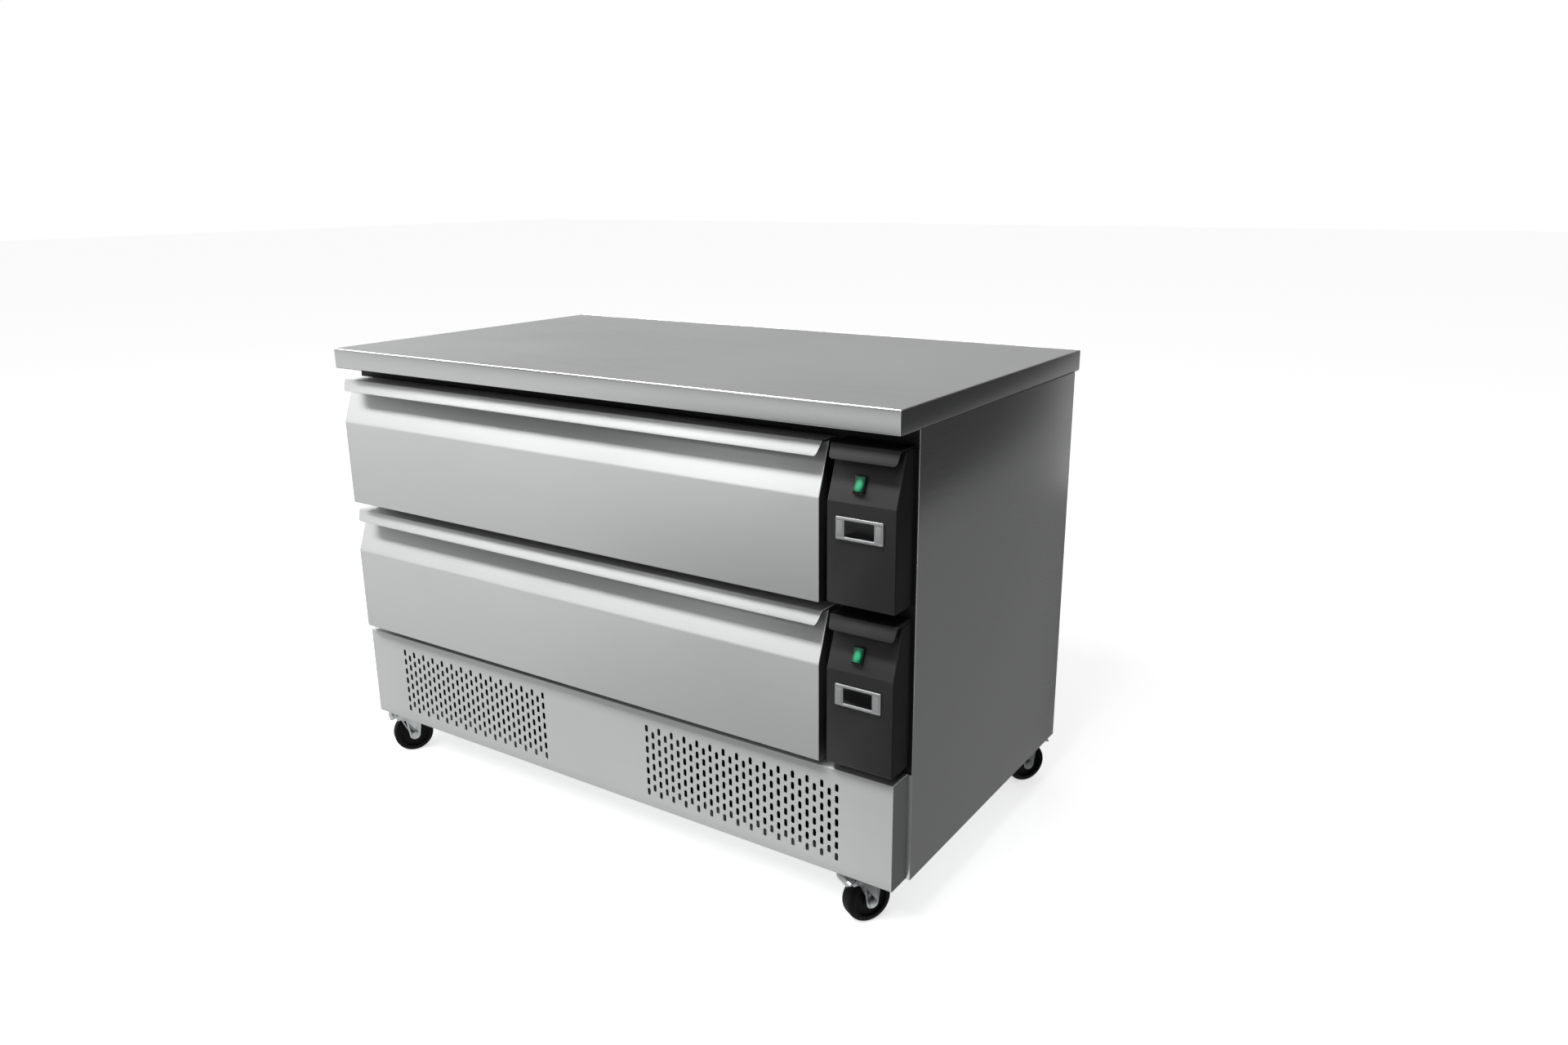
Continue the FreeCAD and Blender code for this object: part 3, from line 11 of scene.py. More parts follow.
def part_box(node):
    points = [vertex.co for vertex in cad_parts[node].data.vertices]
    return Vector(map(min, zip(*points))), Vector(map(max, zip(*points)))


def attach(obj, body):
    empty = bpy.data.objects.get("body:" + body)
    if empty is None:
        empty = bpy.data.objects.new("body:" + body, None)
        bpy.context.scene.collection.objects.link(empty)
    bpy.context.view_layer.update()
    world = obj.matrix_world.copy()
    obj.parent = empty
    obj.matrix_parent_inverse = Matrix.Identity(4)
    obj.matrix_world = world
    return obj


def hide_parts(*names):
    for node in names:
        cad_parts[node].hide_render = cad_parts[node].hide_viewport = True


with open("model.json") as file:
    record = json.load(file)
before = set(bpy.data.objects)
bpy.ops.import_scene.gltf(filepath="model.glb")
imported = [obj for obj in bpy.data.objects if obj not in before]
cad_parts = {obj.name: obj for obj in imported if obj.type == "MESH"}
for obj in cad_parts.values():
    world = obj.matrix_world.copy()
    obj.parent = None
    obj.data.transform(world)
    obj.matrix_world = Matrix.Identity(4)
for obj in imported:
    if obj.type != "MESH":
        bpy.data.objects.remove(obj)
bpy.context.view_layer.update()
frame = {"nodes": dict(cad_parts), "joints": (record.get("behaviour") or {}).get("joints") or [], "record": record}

bl_info = {
    "name": "Undercounter drawer fridge freezer",
    "version": (1, 0, 0),
    "blender": (4, 5, 0),
    "location": "3D View > Sidebar > Drawer fridge",
    "description": "Dresses the packed two-drawer undercounter fridge freezer and sets its studio",
    "category": "Object",
}

MM = 0.001
LEVELS = ("upper", "lower")
CORNERS = ("front_left", "front_right", "back_left", "back_right")
JOINTS = {joint["name"]: joint for joint in frame["joints"]}
SLOT_OF = {row["node"]: row["material_slot"] for row in frame["record"]["subparts"]}
BODY_OF = {node: body for body, nodes in frame["record"]["behaviour"]["bodies"].items() for node in nodes}
WHITE = (1.0, 1.0, 1.0, 1.0)

# Points closer than this are one point
TOUCH = 0.02 * MM

# An edge bent by less than the first lies in a flat face, by more than the second it is a fold, by more than
# the third it is rounded, and by less than the fourth it is shaded smooth
FLAT_ANGLE = math.radians(0.5)
FOLD_ANGLE = math.radians(10)
SHARP_ANGLE = math.radians(50)
SMOOTH_ANGLE = math.radians(32)

# A face whose normal has at least this share along a direction looks that way, squarely or nearly so
SQUARE_ON = 0.99
NEARLY_ON = 0.9

# Turns of a flat rectangle: level, facing the front and facing the side
LYING, STANDING, SIDEWAYS = (0, 0, 0), (math.pi / 2, 0, 0), (math.pi / 2, 0, math.pi / 2)

# Selection modes for what is picked
SELECT_MODES = {"verts": "VERT", "edges": "EDGE", "faces": "FACE"}

# Sockets of the Mix node when it mixes colours
MIX_FACTOR, MIX_FIRST, MIX_SECOND, MIX_RESULT = 0, 6, 7, 2


# Settings

def linear(code):
    """The linear colour of an sRGB hex value."""
    shares = [int(code[place:place + 2], 16) / 255 for place in (0, 2, 4)]
    return tuple(share / 12.92 if share <= 0.04045 else ((share + 0.055) / 1.055) ** 2.4 for share in shares)


def length(description, millimetres):
    return FloatProperty(description=description, default=millimetres * MM, unit="LENGTH", precision=4)


def rounding(pieces, millimetres):
    return length(f"Radius of the edges of the {pieces}", millimetres)


def bearing(description, degrees):
    return FloatProperty(description=description, default=math.radians(degrees), subtype="ANGLE")


def wattage(description, watts):
    return FloatProperty(description=description, default=watts, unit="POWER")


def colour(description, code):
    return FloatVectorProperty(description=description, default=linear(code), subtype="COLOR", size=3,
                               min=0.0, max=1.0)


class FinishSettings(PropertyGroup):
    """Colours of the finishes."""
    # The side panels, the worktop and the fronts are one stainless steel. Their three tones stand for how the
    # light falls on each: painted light and shade.
    steel: colour("Reflection of the side panels", "cacbcb")
    top_steel: colour("Reflection of the worktop and the liners", "c1c2c2")
    front_steel: colour("Reflection of the drawer fronts and the plinth", "b6b7b7")
    zinc: colour("Reflection of the plated castors and runners", "b4b7b8")
    galvanised: colour("Reflection of the sheet behind and below", "b7babb")
    coating: colour("Powder coating of the frame and compressors", "0e0e0e")
    fascia: colour("Moulded ABS of the control panels", "09090a")
    silver: colour("Moulded ABS of the controllers and keys", "98999a")
    window: colour("Smoked acrylic over the display", "121213")
    # The rocker's colour also carries its lamp's glow, painted in beside a faint emission
    lamp: colour("Polycarbonate of the lit rocker", "2aa673")
    tyre: colour("Rubber of the castor wheels", "0a0a0a")
    seal: colour("Soft vinyl of the seal on the tub", "7d7f80")
    tub: colour("White coated shell of the insulated parts", "dcdcd8")
    board: colour("Dark film on the board inside the worktop", "1b1918")
    fins: colour("Rolled aluminium of the coils", "c9cccd")


class FrontSizes(PropertyGroup):
    """The folded drawer fronts and the moulded control panels beside them."""
    break_height: length("Height of the upright face, below the slope", 160)
    slope_setback: length("How far the slope leans back at its top", 30)
    face_drop: length("How far a drawer's face reaches below its core", 4)
    lip_height: length("Depth of the grip lip", 22)
    lip_lean: length("How far the lip's lower edge stands in front of its fold", 9.5)
    lip_setback: length("How far the lip's lower edge lies behind the face", 1)
    lip_taper: length("How much a drawer's lip draws in at each end", 7)
    control_taper: length("How much a control panel's lip draws in at each end", 2.5)
    lip_gauge: length("Thickness of the hemmed lip", 2.5)
    lip_corner: length("Rounding of the lip's lower corners", 5)
    lip_fold: length("Radius of the fold between flange and lip", 1.6)
    sheet: length("Thickness of the folded sheet", 1.2)
    fold: length("Outer radius of the sheet's folds", 2.2)
    moulding: length("Wall of the moulded control panel", 2.4)
    moulding_round: length("Outer radius of the moulded control panel", 3)


class SheetSizes(PropertyGroup):
    """The worktop, the side panels and the vented plinth."""
    worktop_round: length("Radius of the worktop's upper edges", 2.5)
    worktop_corner: length("Radius of the worktop's upright corners", 3)
    worktop_sheet: length("Thickness of the worktop's steel", 1.5)
    panel_round: length("Radius of the side panels' folds", 1.8)
    plinth_fold: length("Radius of the plinth's folds", 1.2)
    plinth_sheet: length("Thickness of the plinth's steel", 0.6)
    plinth_rise: length("How far the plinth's top fold stands above its solid", 1.5)
    plinth_foot: length("Depth of the fold under the plinth", 46)
    slot_width: length("Width of one vent slot", 6.4)
    slot_height: length("Height of one vent slot", 14)
    slot_column: length("Spacing of the columns of slots", 13.9)
    slot_row: length("Spacing of the slots in a column", 20.5)
    slot_top: length("Height of the highest slot's upper end above the floor", 256.4)
    slot_inner: length("Distance of the innermost column from the middle", 126)
    slot_columns: IntProperty(description="Columns of slots in each field", default=29)
    slot_rows: IntProperty(description="Slots in a full column", default=7)


class ControlSizes(PropertyGroup):
    """The rocker switches on the slopes and the controllers on the faces."""
    switch_along: length("Distance of the switch from the break, along the slope", 28)
    switch_width: length("Width of the switch's flange", 20)
    switch_height: length("Length of the switch's flange along the slope", 28)
    switch_inset: length("How far the switch's body lies inside its flange", 1.2)
    switch_proud: length("Thickness of the switch's flange", 4)
    switch_depth: length("Depth of the switch's body behind the panel", 18)
    well_width: length("Width of the opening for the rocker", 16.4)
    well_height: length("Length of the opening for the rocker", 24.4)
    well_depth: length("Depth of the opening for the rocker", 10.4)
    case_width: length("Width of the controller's flange", 80)
    case_height: length("Height of the controller's flange", 35.5)
    body_width: length("Width of the controller behind the panel", 71)
    body_height: length("Height of the controller behind the panel", 29)
    window_width: length("Width of the opening over the display", 51)
    window_height: length("Height of the opening over the display", 28.5)
    window_sink: length("How far the window lies behind the flange's face", 1)
    window_gauge: length("Thickness of the window", 1.4)
    ledge: length("Width of the sloped ledge above and below the window", 1.6)
    side_ledge: length("Width of the sloped ledge beside the window", 0.5)
    key_gap: length("Gap round a key", 0.3)
    key_pocket: length("Depth of the pocket behind a key", 3)
    flange_corner: length("Radius of the flanges' corners", 2)
    opening_play: length("Gap between a body and its opening in the panel", 0.2)


class CastorSizes(PropertyGroup):
    """The castors."""
    wheel_width: length("Width of a wheel across its tread", 30)
    leg_out: length("Distance of a fork leg's outer face from the wheel's middle", 21)
    leg_rim: length("Width of the flat rim round the pressed panel of a leg", 3.5)
    leg_press: length("Depth of the pressed panel of a leg", 0.9)
    pedal_corner: length("Radius of the foot plate's corners", 7)
    pedal_rim: length("Width of the raised rim of the foot plate", 2.6)
    pedal_sink: length("Depth of the foot plate inside its rim", 1.4)
    pedal_start: length("Distance of the foot plate from the wheel's axle", 33)
    tread_round: length("Rounding of the tyre's shoulders", 7)
    tyre_depth: length("Thickness of the tyre outside the wheel centre", 11)
    web_sink: length("How far the wheel's web lies behind its rim", 5)
    hub_radius: length("Radius of the wheel's hub", 13)
    fork_round: length("Radius of the pressed fork's edges", 0.9)
    pedal_round: length("Radius of the brake pedal's edges", 1.2)


class EdgeSizes(PropertyGroup):
    """Roundings of small edges, which catch the light."""
    tub: rounding("tubs", 2)
    seal: rounding("drawer seals", 2.2)
    liner: rounding("liners", 0.5)
    runner: rounding("runners", 0.4)
    switch: rounding("switch housings", 0.9)
    rocker: rounding("rockers", 0.6)
    case: rounding("controllers", 0.6)
    window: rounding("display windows", 0.3)
    key: rounding("keys", 0.4)
    plate: rounding("castor plates", 0.8)
    wheel: rounding("wheels' rims and hubs", 0.8)


class StudioSettings(PropertyGroup):
    """The camera and the lamps."""
    lens: FloatProperty(description="Focal length in millimetres", default=26.85)
    camera_place: FloatVectorProperty(description="Where the camera stands", default=(1.367, -1.758, 1.165),
                                      subtype="TRANSLATION")
    azimuth: bearing("Turn of the view about the upright", 33.75)
    elevation: bearing("How far the camera looks down", 16.17)
    roll: bearing("Turn of the picture about the view", -0.48)
    ambient: FloatProperty(description="Strength of the white room on matt surfaces", default=0.45)
    key: wattage("Power of the softbox in front", 120.0)
    strip: wattage("Power of the strip overhead, which the steel mirrors", 770.0)


SETTINGS = {
    "fridge_finish": FinishSettings,
    "fridge_fronts": FrontSizes,
    "fridge_sheet": SheetSizes,
    "fridge_controls": ControlSizes,
    "fridge_castors": CastorSizes,
    "fridge_edges": EdgeSizes,
    "fridge_studio": StudioSettings,
}


def settings(group):
    return getattr(bpy.context.scene, group)


# Modelling steps

def deselect():
    if bpy.context.object and bpy.context.object.mode != "OBJECT":
        bpy.ops.object.mode_set(mode="OBJECT")
    bpy.ops.object.select_all(action="DESELECT")


def activate(piece):
    deselect()
    piece.select_set(True)
    bpy.context.view_layer.objects.active = piece


def settle(name):
    """Names the newest primitive and moves its place into its mesh."""
    piece = bpy.context.active_object
    piece.name = name
    piece.data.name = name
    bpy.ops.object.transform_apply(location=True, rotation=True, scale=True)
    return piece


def block(name, low, high):
    """A box between two corners, to be shaped."""
    deselect()
    low, high = Vector(low), Vector(high)
    bpy.ops.mesh.primitive_cube_add(size=1, location=(low + high) / 2)
    bpy.context.active_object.scale = high - low
    return settle(name)


def plane(name, place, size, turn=LYING):
    """A flat rectangle about a place, lying or turned."""
    deselect()
    bpy.ops.mesh.primitive_plane_add(size=1, location=place, rotation=turn)
    bpy.context.active_object.scale = (*size, 1)
    return settle(name)


def flat(name, low, high, height):
    """A level rectangle between two corners, to be folded."""
    centre = ((low[0] + high[0]) / 2, (low[1] + high[1]) / 2, height)
    return plane(name, centre, (high[0] - low[0], high[1] - low[1]))


def edit(piece, kind):
    activate(piece)
    bpy.ops.object.mode_set(mode="EDIT")
    bpy.ops.mesh.select_mode(type=kind)


def leave():
    bpy.ops.object.mode_set(mode="OBJECT")


def take_all():
    bpy.ops.mesh.select_all(action="SELECT")


def pick(piece, parts, test):
    """Selects those vertices, edges or faces of the piece in hand that pass a test, and no others."""
    bpy.ops.mesh.select_mode(type=SELECT_MODES[parts])
    bpy.ops.mesh.select_all(action="DESELECT")
    mesh = bmesh.from_edit_mesh(piece.data)
    mesh.normal_update()
    found = [part for part in getattr(mesh, parts) if test(part)]
    if not found:
        raise RuntimeError(f"{piece.name}: nothing was picked")
    for part in found:
        part.select_set(True)
    mesh.select_flush(True)
    bmesh.update_edit_mesh(piece.data)


def middle(edge):
    return (edge.verts[0].co + edge.verts[1].co) / 2


def near(first, second):
    return abs(first - second) < TOUCH


def ends_at(edge, **places):
    """Whether both ends of an edge lie at the given places along x, y or z."""
    return all(near(getattr(vertex.co, axis), place)
               for vertex in edge.verts for axis, place in places.items())


def folded(edge):
    return edge.is_manifold and edge.calc_face_angle(0.0) > FOLD_ANGLE


def pull(step):
    """Extrudes what is selected by a step."""
    bpy.ops.mesh.extrude_region_move(TRANSFORM_OT_translate={"value": step})


def extrude(piece, test, step):
    """Extrudes the edges that pass a test by a step."""
    pick(piece, "edges", test)
    pull(step)


def bevel(radius, segments, parts="EDGES"):
    bpy.ops.mesh.bevel(offset=radius, segments=segments, affect=parts)


def scale_about(centre, shares):
    bpy.ops.transform.resize(value=shares, center_override=centre)


def apply(piece, kind, **values):
    activate(piece)
    modifier = piece.modifiers.new(kind.lower(), kind)
    for name, value in values.items():
        setattr(modifier, name, value)
    bpy.ops.object.modifier_apply(modifier=modifier.name)


def thicken(piece, gauge):
    """Gives a folded sheet its wall, inwards from the face that is seen."""
    apply(piece, "SOLIDIFY", thickness=gauge, offset=-1, use_even_offset=True)


def ease(piece, radius, segments=2, angle=SHARP_ANGLE):
    """Rounds the edges that are sharper than an angle."""
    apply(piece, "BEVEL", width=radius, segments=segments, limit_method="ANGLE", angle_limit=angle,
          use_clamp_overlap=True, miter_outer="MITER_ARC")


def smooth(piece):
    activate(piece)
    bpy.ops.object.shade_smooth_by_angle(angle=SMOOTH_ANGLE)


def join(name, pieces):
    deselect()
    for piece in pieces:
        piece.select_set(True)
    bpy.context.view_layer.objects.active = pieces[0]
    bpy.ops.object.join()
    pieces[0].name = name
    pieces[0].data.name = name
    return pieces[0]


def lay_grain(piece):
    """Lays a map on a piece whose first direction is level, for the direction of its hairlines."""
    edit(piece, "FACE")
    take_all()
    bpy.ops.uv.cube_project(cube_size=1.0)
    leave()


def hand_over(piece, material, *nodes):
    """Gives a finished piece its material, and puts it in the place of its nodes."""
    lay_grain(piece)
    piece.data.materials.clear()
    piece.data.materials.append(material)
    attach(piece, BODY_OF[nodes[0]])
    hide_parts(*nodes)


def copied(node):
    """A copy of a node's mesh, with its flat faces in one piece."""
    piece = bpy.data.objects.new(f"rounded_{node}", frame["nodes"][node].data.copy())
    bpy.context.scene.collection.objects.link(piece)
    edit(piece, "FACE")
    bpy.ops.mesh.customdata_custom_splitnormals_clear()
    take_all()
    bpy.ops.mesh.remove_doubles(threshold=TOUCH / 2)
    bpy.ops.mesh.dissolve_limited(angle_limit=FLAT_ANGLE)
    leave()
    return piece


def finish(piece, material, node, radius, segments=2):
    """Rounds the sharp edges of a piece and puts it in a node's place."""
    ease(piece, radius, segments)
    smooth(piece)
    hand_over(piece, material, node)


def rounded(node, radius, segments=2, material=None):
    """A copy of a node with its sharp edges rounded, in the node's place and its own or another finish."""
    finish(copied(node), material or finish_of(node), node, radius, segments)


def stand(piece, place, turn):
    """Moves a piece that was made about the origin into place, with a turn."""
    activate(piece)
    piece.matrix_world = Matrix.Translation(place) @ turn
    bpy.ops.object.transform_apply(location=True, rotation=True, scale=True)


def carry_over(node, material):
    """Keeps a node's own mesh, in a finished material."""
    data = frame["nodes"][node].data
    data.materials.clear()
    data.materials.append(material)


# Materials

def wire(tree, node, inputs):
    """Gives each named input of a node its value or its link."""
    for name, value in inputs.items():
        if isinstance(value, bpy.types.NodeSocket):
            tree.links.new(value, node.inputs[name])
        else:
            node.inputs[name].default_value = value


def add(tree, kind, inputs=None, **values):
    """Adds a node, with its settings, and with a value or a link for each named input."""
    node = tree.nodes.new(kind)
    for name, value in values.items():
        setattr(node, name, value)
    wire(tree, node, inputs or {})
    return node


def bare_tree(owner):
    """The emptied node tree of a material or a world."""
    owner.use_nodes = True
    owner.node_tree.nodes.clear()
    return owner.node_tree


def new_material(name):
    """A material with its shader and its output, and the place on the piece for its patterns."""
    material = bpy.data.materials.new(name)
    tree = bare_tree(material)
    shader = add(tree, "ShaderNodeBsdfPrincipled")
    add(tree, "ShaderNodeOutputMaterial", {"Surface": shader.outputs["BSDF"]})
    place = add(tree, "ShaderNodeTexCoord").outputs["Object"]
    return material, tree, shader, place


def tint(tree, factor, first, second):
    """Links a colour that runs between two with a pattern."""
    mix = add(tree, "ShaderNodeMix", {MIX_FACTOR: factor, MIX_FIRST: (*first, 1), MIX_SECOND: (*second, 1)},
              data_type="RGBA")
    return mix.outputs[MIX_RESULT]


def span(tree, value, low, high, start=0.3, end=0.7):
    """Maps a pattern onto a range of values."""
    node = add(tree, "ShaderNodeMapRange", {"Value": value, "From Min": start, "From Max": end,
                                            "To Min": low, "To Max": high})
    return node.outputs["Result"]


def shade(colour_value, share):
    return tuple(channel * share for channel in colour_value)


def noise(tree, place, size, detail):
    """A cloudy pattern whose clouds have a size."""
    node = add(tree, "ShaderNodeTexNoise", {"Vector": place, "Scale": 1 / size, "Detail": detail})
    return node.outputs["Fac"]


def cells(tree, place, size):
    """A pattern of flat cells of a size, each with its own share from nought to one."""
    cell = add(tree, "ShaderNodeTexVoronoi", {"Vector": place, "Scale": 1 / size}).outputs["Color"]
    return add(tree, "ShaderNodeSeparateColor", {"Color": cell}).outputs["Red"]


def reckon(tree, operation, first, second):
    return add(tree, "ShaderNodeMath", {0: first, 1: second}, operation=operation).outputs["Value"]


# Belt-ground stainless sheet: hairlines along one axis blur what it mirrors and give the face a silky grey.
# Real hairlines are about 0.1 mm apart, too fine to show, so they are drawn 0.9 mm apart.
HAIRLINE = 0.9 * MM
HAIR_LENGTH = 160 * MM
HAIR_DEPTH = 0.05 * MM
CLOUD = 320 * MM
QUARTER_TURN = 0.25


def ground_steel(name, steel, along, roughness, stretch=0.0):
    material, tree, shader, place = new_material(name)
    if stretch:
        level_line = add(tree, "ShaderNodeTangent", direction_type="UV_MAP").outputs["Tangent"]
        wire(tree, shader, {"Tangent": level_line, "Anisotropic": stretch,
                            "Anisotropic Rotation": QUARTER_TURN})
    scale = [1 / HAIRLINE] * 3
    scale[along] = 1 / HAIR_LENGTH
    stretched = add(tree, "ShaderNodeMapping", {"Vector": place, "Scale": scale}).outputs["Vector"]
    hair = noise(tree, stretched, 1.0, 3.0)
    cloud = noise(tree, place, CLOUD, 2.0)
    worn = reckon(tree, "ADD", span(tree, hair, -0.025, 0.025), span(tree, cloud, -0.02, 0.02))
    bump = add(tree, "ShaderNodeBump", {"Height": hair, "Strength": 0.06, "Distance": HAIR_DEPTH})
    wire(tree, shader, {
        "Base Color": tint(tree, span(tree, hair, 0.0, 1.0), shade(steel, 0.965), steel),
        "Roughness": reckon(tree, "ADD", worn, roughness),
        "Normal": bump.outputs["Normal"],
        "Metallic": 1.0,
    })
    return material


# Bright zinc plating on pressed steel: a satin blue-grey shine with faint clouds from the bath.
ZINC_CLOUD = 14 * MM


def zinc_plating():
    material, tree, shader, place = new_material("zinc_plated_pressing")
    cloud = noise(tree, place, ZINC_CLOUD, 5.0)
    zinc = settings("fridge_finish").zinc
    tone = tint(tree, span(tree, cloud, 0.0, 1.0), shade(zinc, 0.8), zinc)
    wire(tree, shader, {"Base Color": tone, "Roughness": span(tree, cloud, 0.42, 0.26), "Metallic": 1.0})
    return material


# Hot-dip galvanised sheet: flat crystals of slightly different greys, dull beside the stainless steel.
SPANGLE = 9 * MM


def galvanised_sheet():
    material, tree, shader, place = new_material("galvanised_sheet")
    crystal = cells(tree, place, SPANGLE)
    pale = settings("fridge_finish").galvanised
    tone = tint(tree, crystal, shade(pale, 0.78), pale)
    rough = span(tree, crystal, 0.36, 0.5, 0.0, 1.0)
    wire(tree, shader, {"Base Color": tone, "Roughness": rough, "Metallic": 1.0})
    return material


# Powder coating and moulded plastics: a fine even grain that breaks the highlight up, and a shine that
# wanders over the piece with handling.
HANDLED = 70 * MM


def grained_plastic(name, tone, grain, depth, roughness, metallic, sheen):
    material, tree, shader, place = new_material(name)
    pebble = noise(tree, place, grain, 2.0)
    handled = noise(tree, place, HANDLED, 3.0)
    bump = add(tree, "ShaderNodeBump", {"Height": pebble, "Strength": 0.25, "Distance": depth})
    wire(tree, shader, {
        "Base Color": tint(tree, span(tree, pebble, 0.0, 1.0), shade(tone, 0.82), tone),
        "Roughness": span(tree, handled, roughness - 0.05, roughness + 0.06),
        "Normal": bump.outputs["Normal"],
        "Metallic": metallic,
        "Specular IOR Level": sheen,
    })
    return material


# Smoked acrylic: near black and glossy, with faint wiping marks.
WIPING = 12 * MM
ACRYLIC_IOR = 1.49


def smoked_acrylic():
    material, tree, shader, place = new_material("smoked_acrylic")
    wipe = noise(tree, place, WIPING, 4.0)
    tone = settings("fridge_finish").window
    wire(tree, shader, {
        "Base Color": tint(tree, wipe, shade(tone, 0.7), tone),
        "Roughness": span(tree, wipe, 0.08, 0.16),
        "IOR": ACRYLIC_IOR,
        "Specular IOR Level": 0.2,
    })
    return material


# Tinted polycarbonate over a neon lamp. The lamp's glow is painted into the colour, with a faint emission on top:
# brightest in the middle of each lens, deep green at its rim.
POLYCARBONATE_IOR = 1.58


def lit_polycarbonate(level):
    material, tree, shader, place = new_material(f"{level}_lit_polycarbonate")
    low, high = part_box(f"{level}_rocker")
    centre, size = (low + high) / 2, high - low
    shares = Vector((2 / size.x, 0, 2 / size.z))
    centred = add(tree, "ShaderNodeMapping", {"Vector": place, "Scale": shares, "Location": -centre * shares})
    away = add(tree, "ShaderNodeVectorMath", {0: centred.outputs["Vector"]}, operation="LENGTH")
    glow = span(tree, away.outputs["Value"], 1.0, 0.0, 0.3, 0.8)
    lamp = settings("fridge_finish").lamp
    # Painted glow: the lens's colour is pale where the lamp shines through and deep green at the rim
    tone = tint(tree, glow, shade(lamp, 0.16), lamp)
    wire(tree, shader, {
        "Base Color": tone,
        "Emission Color": tone,
        "Emission Strength": span(tree, glow, 0.0, 0.08, 0.0, 1.0),
        "Roughness": 0.22,
        "IOR": POLYCARBONATE_IOR,
        "Specular IOR Level": 0.2,
    })
    return material


# Film-faced board: a dark resin film in which the flakes below show as faint patches.
FLAKE = 5 * MM


def film_faced_board():
    material, tree, shader, place = new_material("film_faced_board")
    flake = cells(tree, place, FLAKE)
    tone = settings("fridge_finish").board
    wire(tree, shader, {
        "Base Color": tint(tree, flake, shade(tone, 0.6), tone),
        "Roughness": span(tree, flake, 0.55, 0.7, 0.0, 1.0),
    })
    return material


# Grained finishes: name, colour, grain and its depth in millimetres, roughness, metallic and sheen
GRAINED = {
    "black_painted_steel": ("black_powder_coating", "coating", 0.6, 0.04, 0.5, 0.0, 0.2),
    "black_plastic": ("charcoal_moulded_abs", "fascia", 0.5, 0.03, 0.58, 0.0, 0.5),
    "switch_nylon": ("black_moulded_nylon", "fascia", 0.4, 0.02, 0.25, 0.0, 0.5),
    "silver_plastic": ("silver_moulded_abs", "silver", 0.4, 0.02, 0.35, 0.3, 0.5),
    "grey_seal": ("grey_soft_vinyl", "seal", 0.8, 0.03, 0.55, 0.0, 0.5),
    "rigid_foam": ("white_coated_shell", "tub", 1.2, 0.05, 0.45, 0.0, 0.5),
    "wheel_rubber": ("black_moulded_rubber", "tyre", 0.9, 0.05, 0.55, 0.0, 0.1),
    "coil_aluminium": ("rolled_aluminium", "fins", 3.0, 0.02, 0.4, 1.0, 0.5),
}
MATERIALS = {}


def make_materials():
    """Makes each finish, under its slot's name or a name of its own."""
    colours = settings("fridge_finish")
    MATERIALS.update({
        # One stainless steel in three tones, which stand for how the light falls on the fronts, the worktop and
        # the side panels: painted light and shade
        "steel_front": ground_steel("ground_stainless_fronts", colours.front_steel, 0, 0.5, 0.8),
        "steel_x": ground_steel("ground_stainless_along_width", colours.top_steel, 0, 0.3),
        "steel_y": ground_steel("ground_stainless_along_depth", colours.steel, 1, 0.3),
        "zinc_plated_steel": zinc_plating(),
        "galvanised_steel": galvanised_sheet(),
        "board": film_faced_board(),
        "dark_window": smoked_acrylic(),
    })
    for slot, (name, tone, grain, depth, *shine) in GRAINED.items():
        MATERIALS[slot] = grained_plastic(name, getattr(colours, tone), grain * MM, depth * MM, *shine)
    for level in LEVELS:
        MATERIALS[f"{level}_lens"] = lit_polycarbonate(level)


def finish_of(node):
    return MATERIALS[SLOT_OF[node]]


# Pieces

class FRIDGE_OT_finishes(Operator):
    """Makes the finishes, and gives the pieces that keep their own mesh theirs"""
    bl_idname = "fridge.finishes"
    bl_label = "Finishes"

    def execute(self, context):
        make_materials()
        for node, slot in SLOT_OF.items():
            if slot in MATERIALS:
                carry_over(node, MATERIALS[slot])
        # The condensers behind the vent slots take the black powder coating, as painted shade, so that the slots
        # in front of them look dark
        carry_over("condensers", MATERIALS["black_painted_steel"])
        return {"FINISHED"}


class FRIDGE_OT_worktop(Operator):
    """Folds the worktop's steel over its board"""
    bl_idname = "fridge.worktop"
    bl_label = "Worktop"

    def execute(self, context):
        sizes = settings("fridge_sheet")
        low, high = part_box("worktop_top")
        top = block("worktop_skin", low, high)
        edit(top, "EDGE")
        pick(top, "edges", lambda edge: near(middle(edge).z, (low.z + high.z) / 2))
        bevel(sizes.worktop_corner, 4)
        pick(top, "edges", lambda edge: ends_at(edge, z=high.z))
        bevel(sizes.worktop_round, 5)
        pick(top, "faces", lambda face: face.normal.z < -NEARLY_ON)
        bpy.ops.mesh.delete(type="FACE")
        leave()
        thicken(top, sizes.worktop_sheet)
        smooth(top)
        hand_over(top, MATERIALS["steel_x"], "worktop_top")
        return {"FINISHED"}


class FRIDGE_OT_side_panels(Operator):
    """Rounds the folds of the two side panels"""
    bl_idname = "fridge.side_panels"
    bl_label = "Side panels"

    def execute(self, context):
        for side in ("left", "right"):
            rounded(f"{side}_side_panel", settings("fridge_sheet").panel_round, 3, MATERIALS["steel_y"])
        return {"FINISHED"}


# An inset face is drawn this far inside its own edges before it is brought to its size
INSET = 12 * MM

# Only the upright face of a front is larger than this
LARGE_FACE = (60 * MM) ** 2

# The hem round a lip is eased where it turns by more than this
HEM_ANGLE = math.radians(60)


def fold_walls(piece, path):
    """Extrudes one wall after another from the piece's front edge, along (depth, height) points."""
    for start, end in zip(path, path[1:]):
        step = (0, end[0] - start[0], end[1] - start[1])
        extrude(piece, lambda edge: ends_at(edge, y=start[0], z=start[1]), step)


def close_end(piece, across):
    pick(piece, "edges", lambda edge: ends_at(edge, x=across))
    bpy.ops.mesh.edge_face_add()


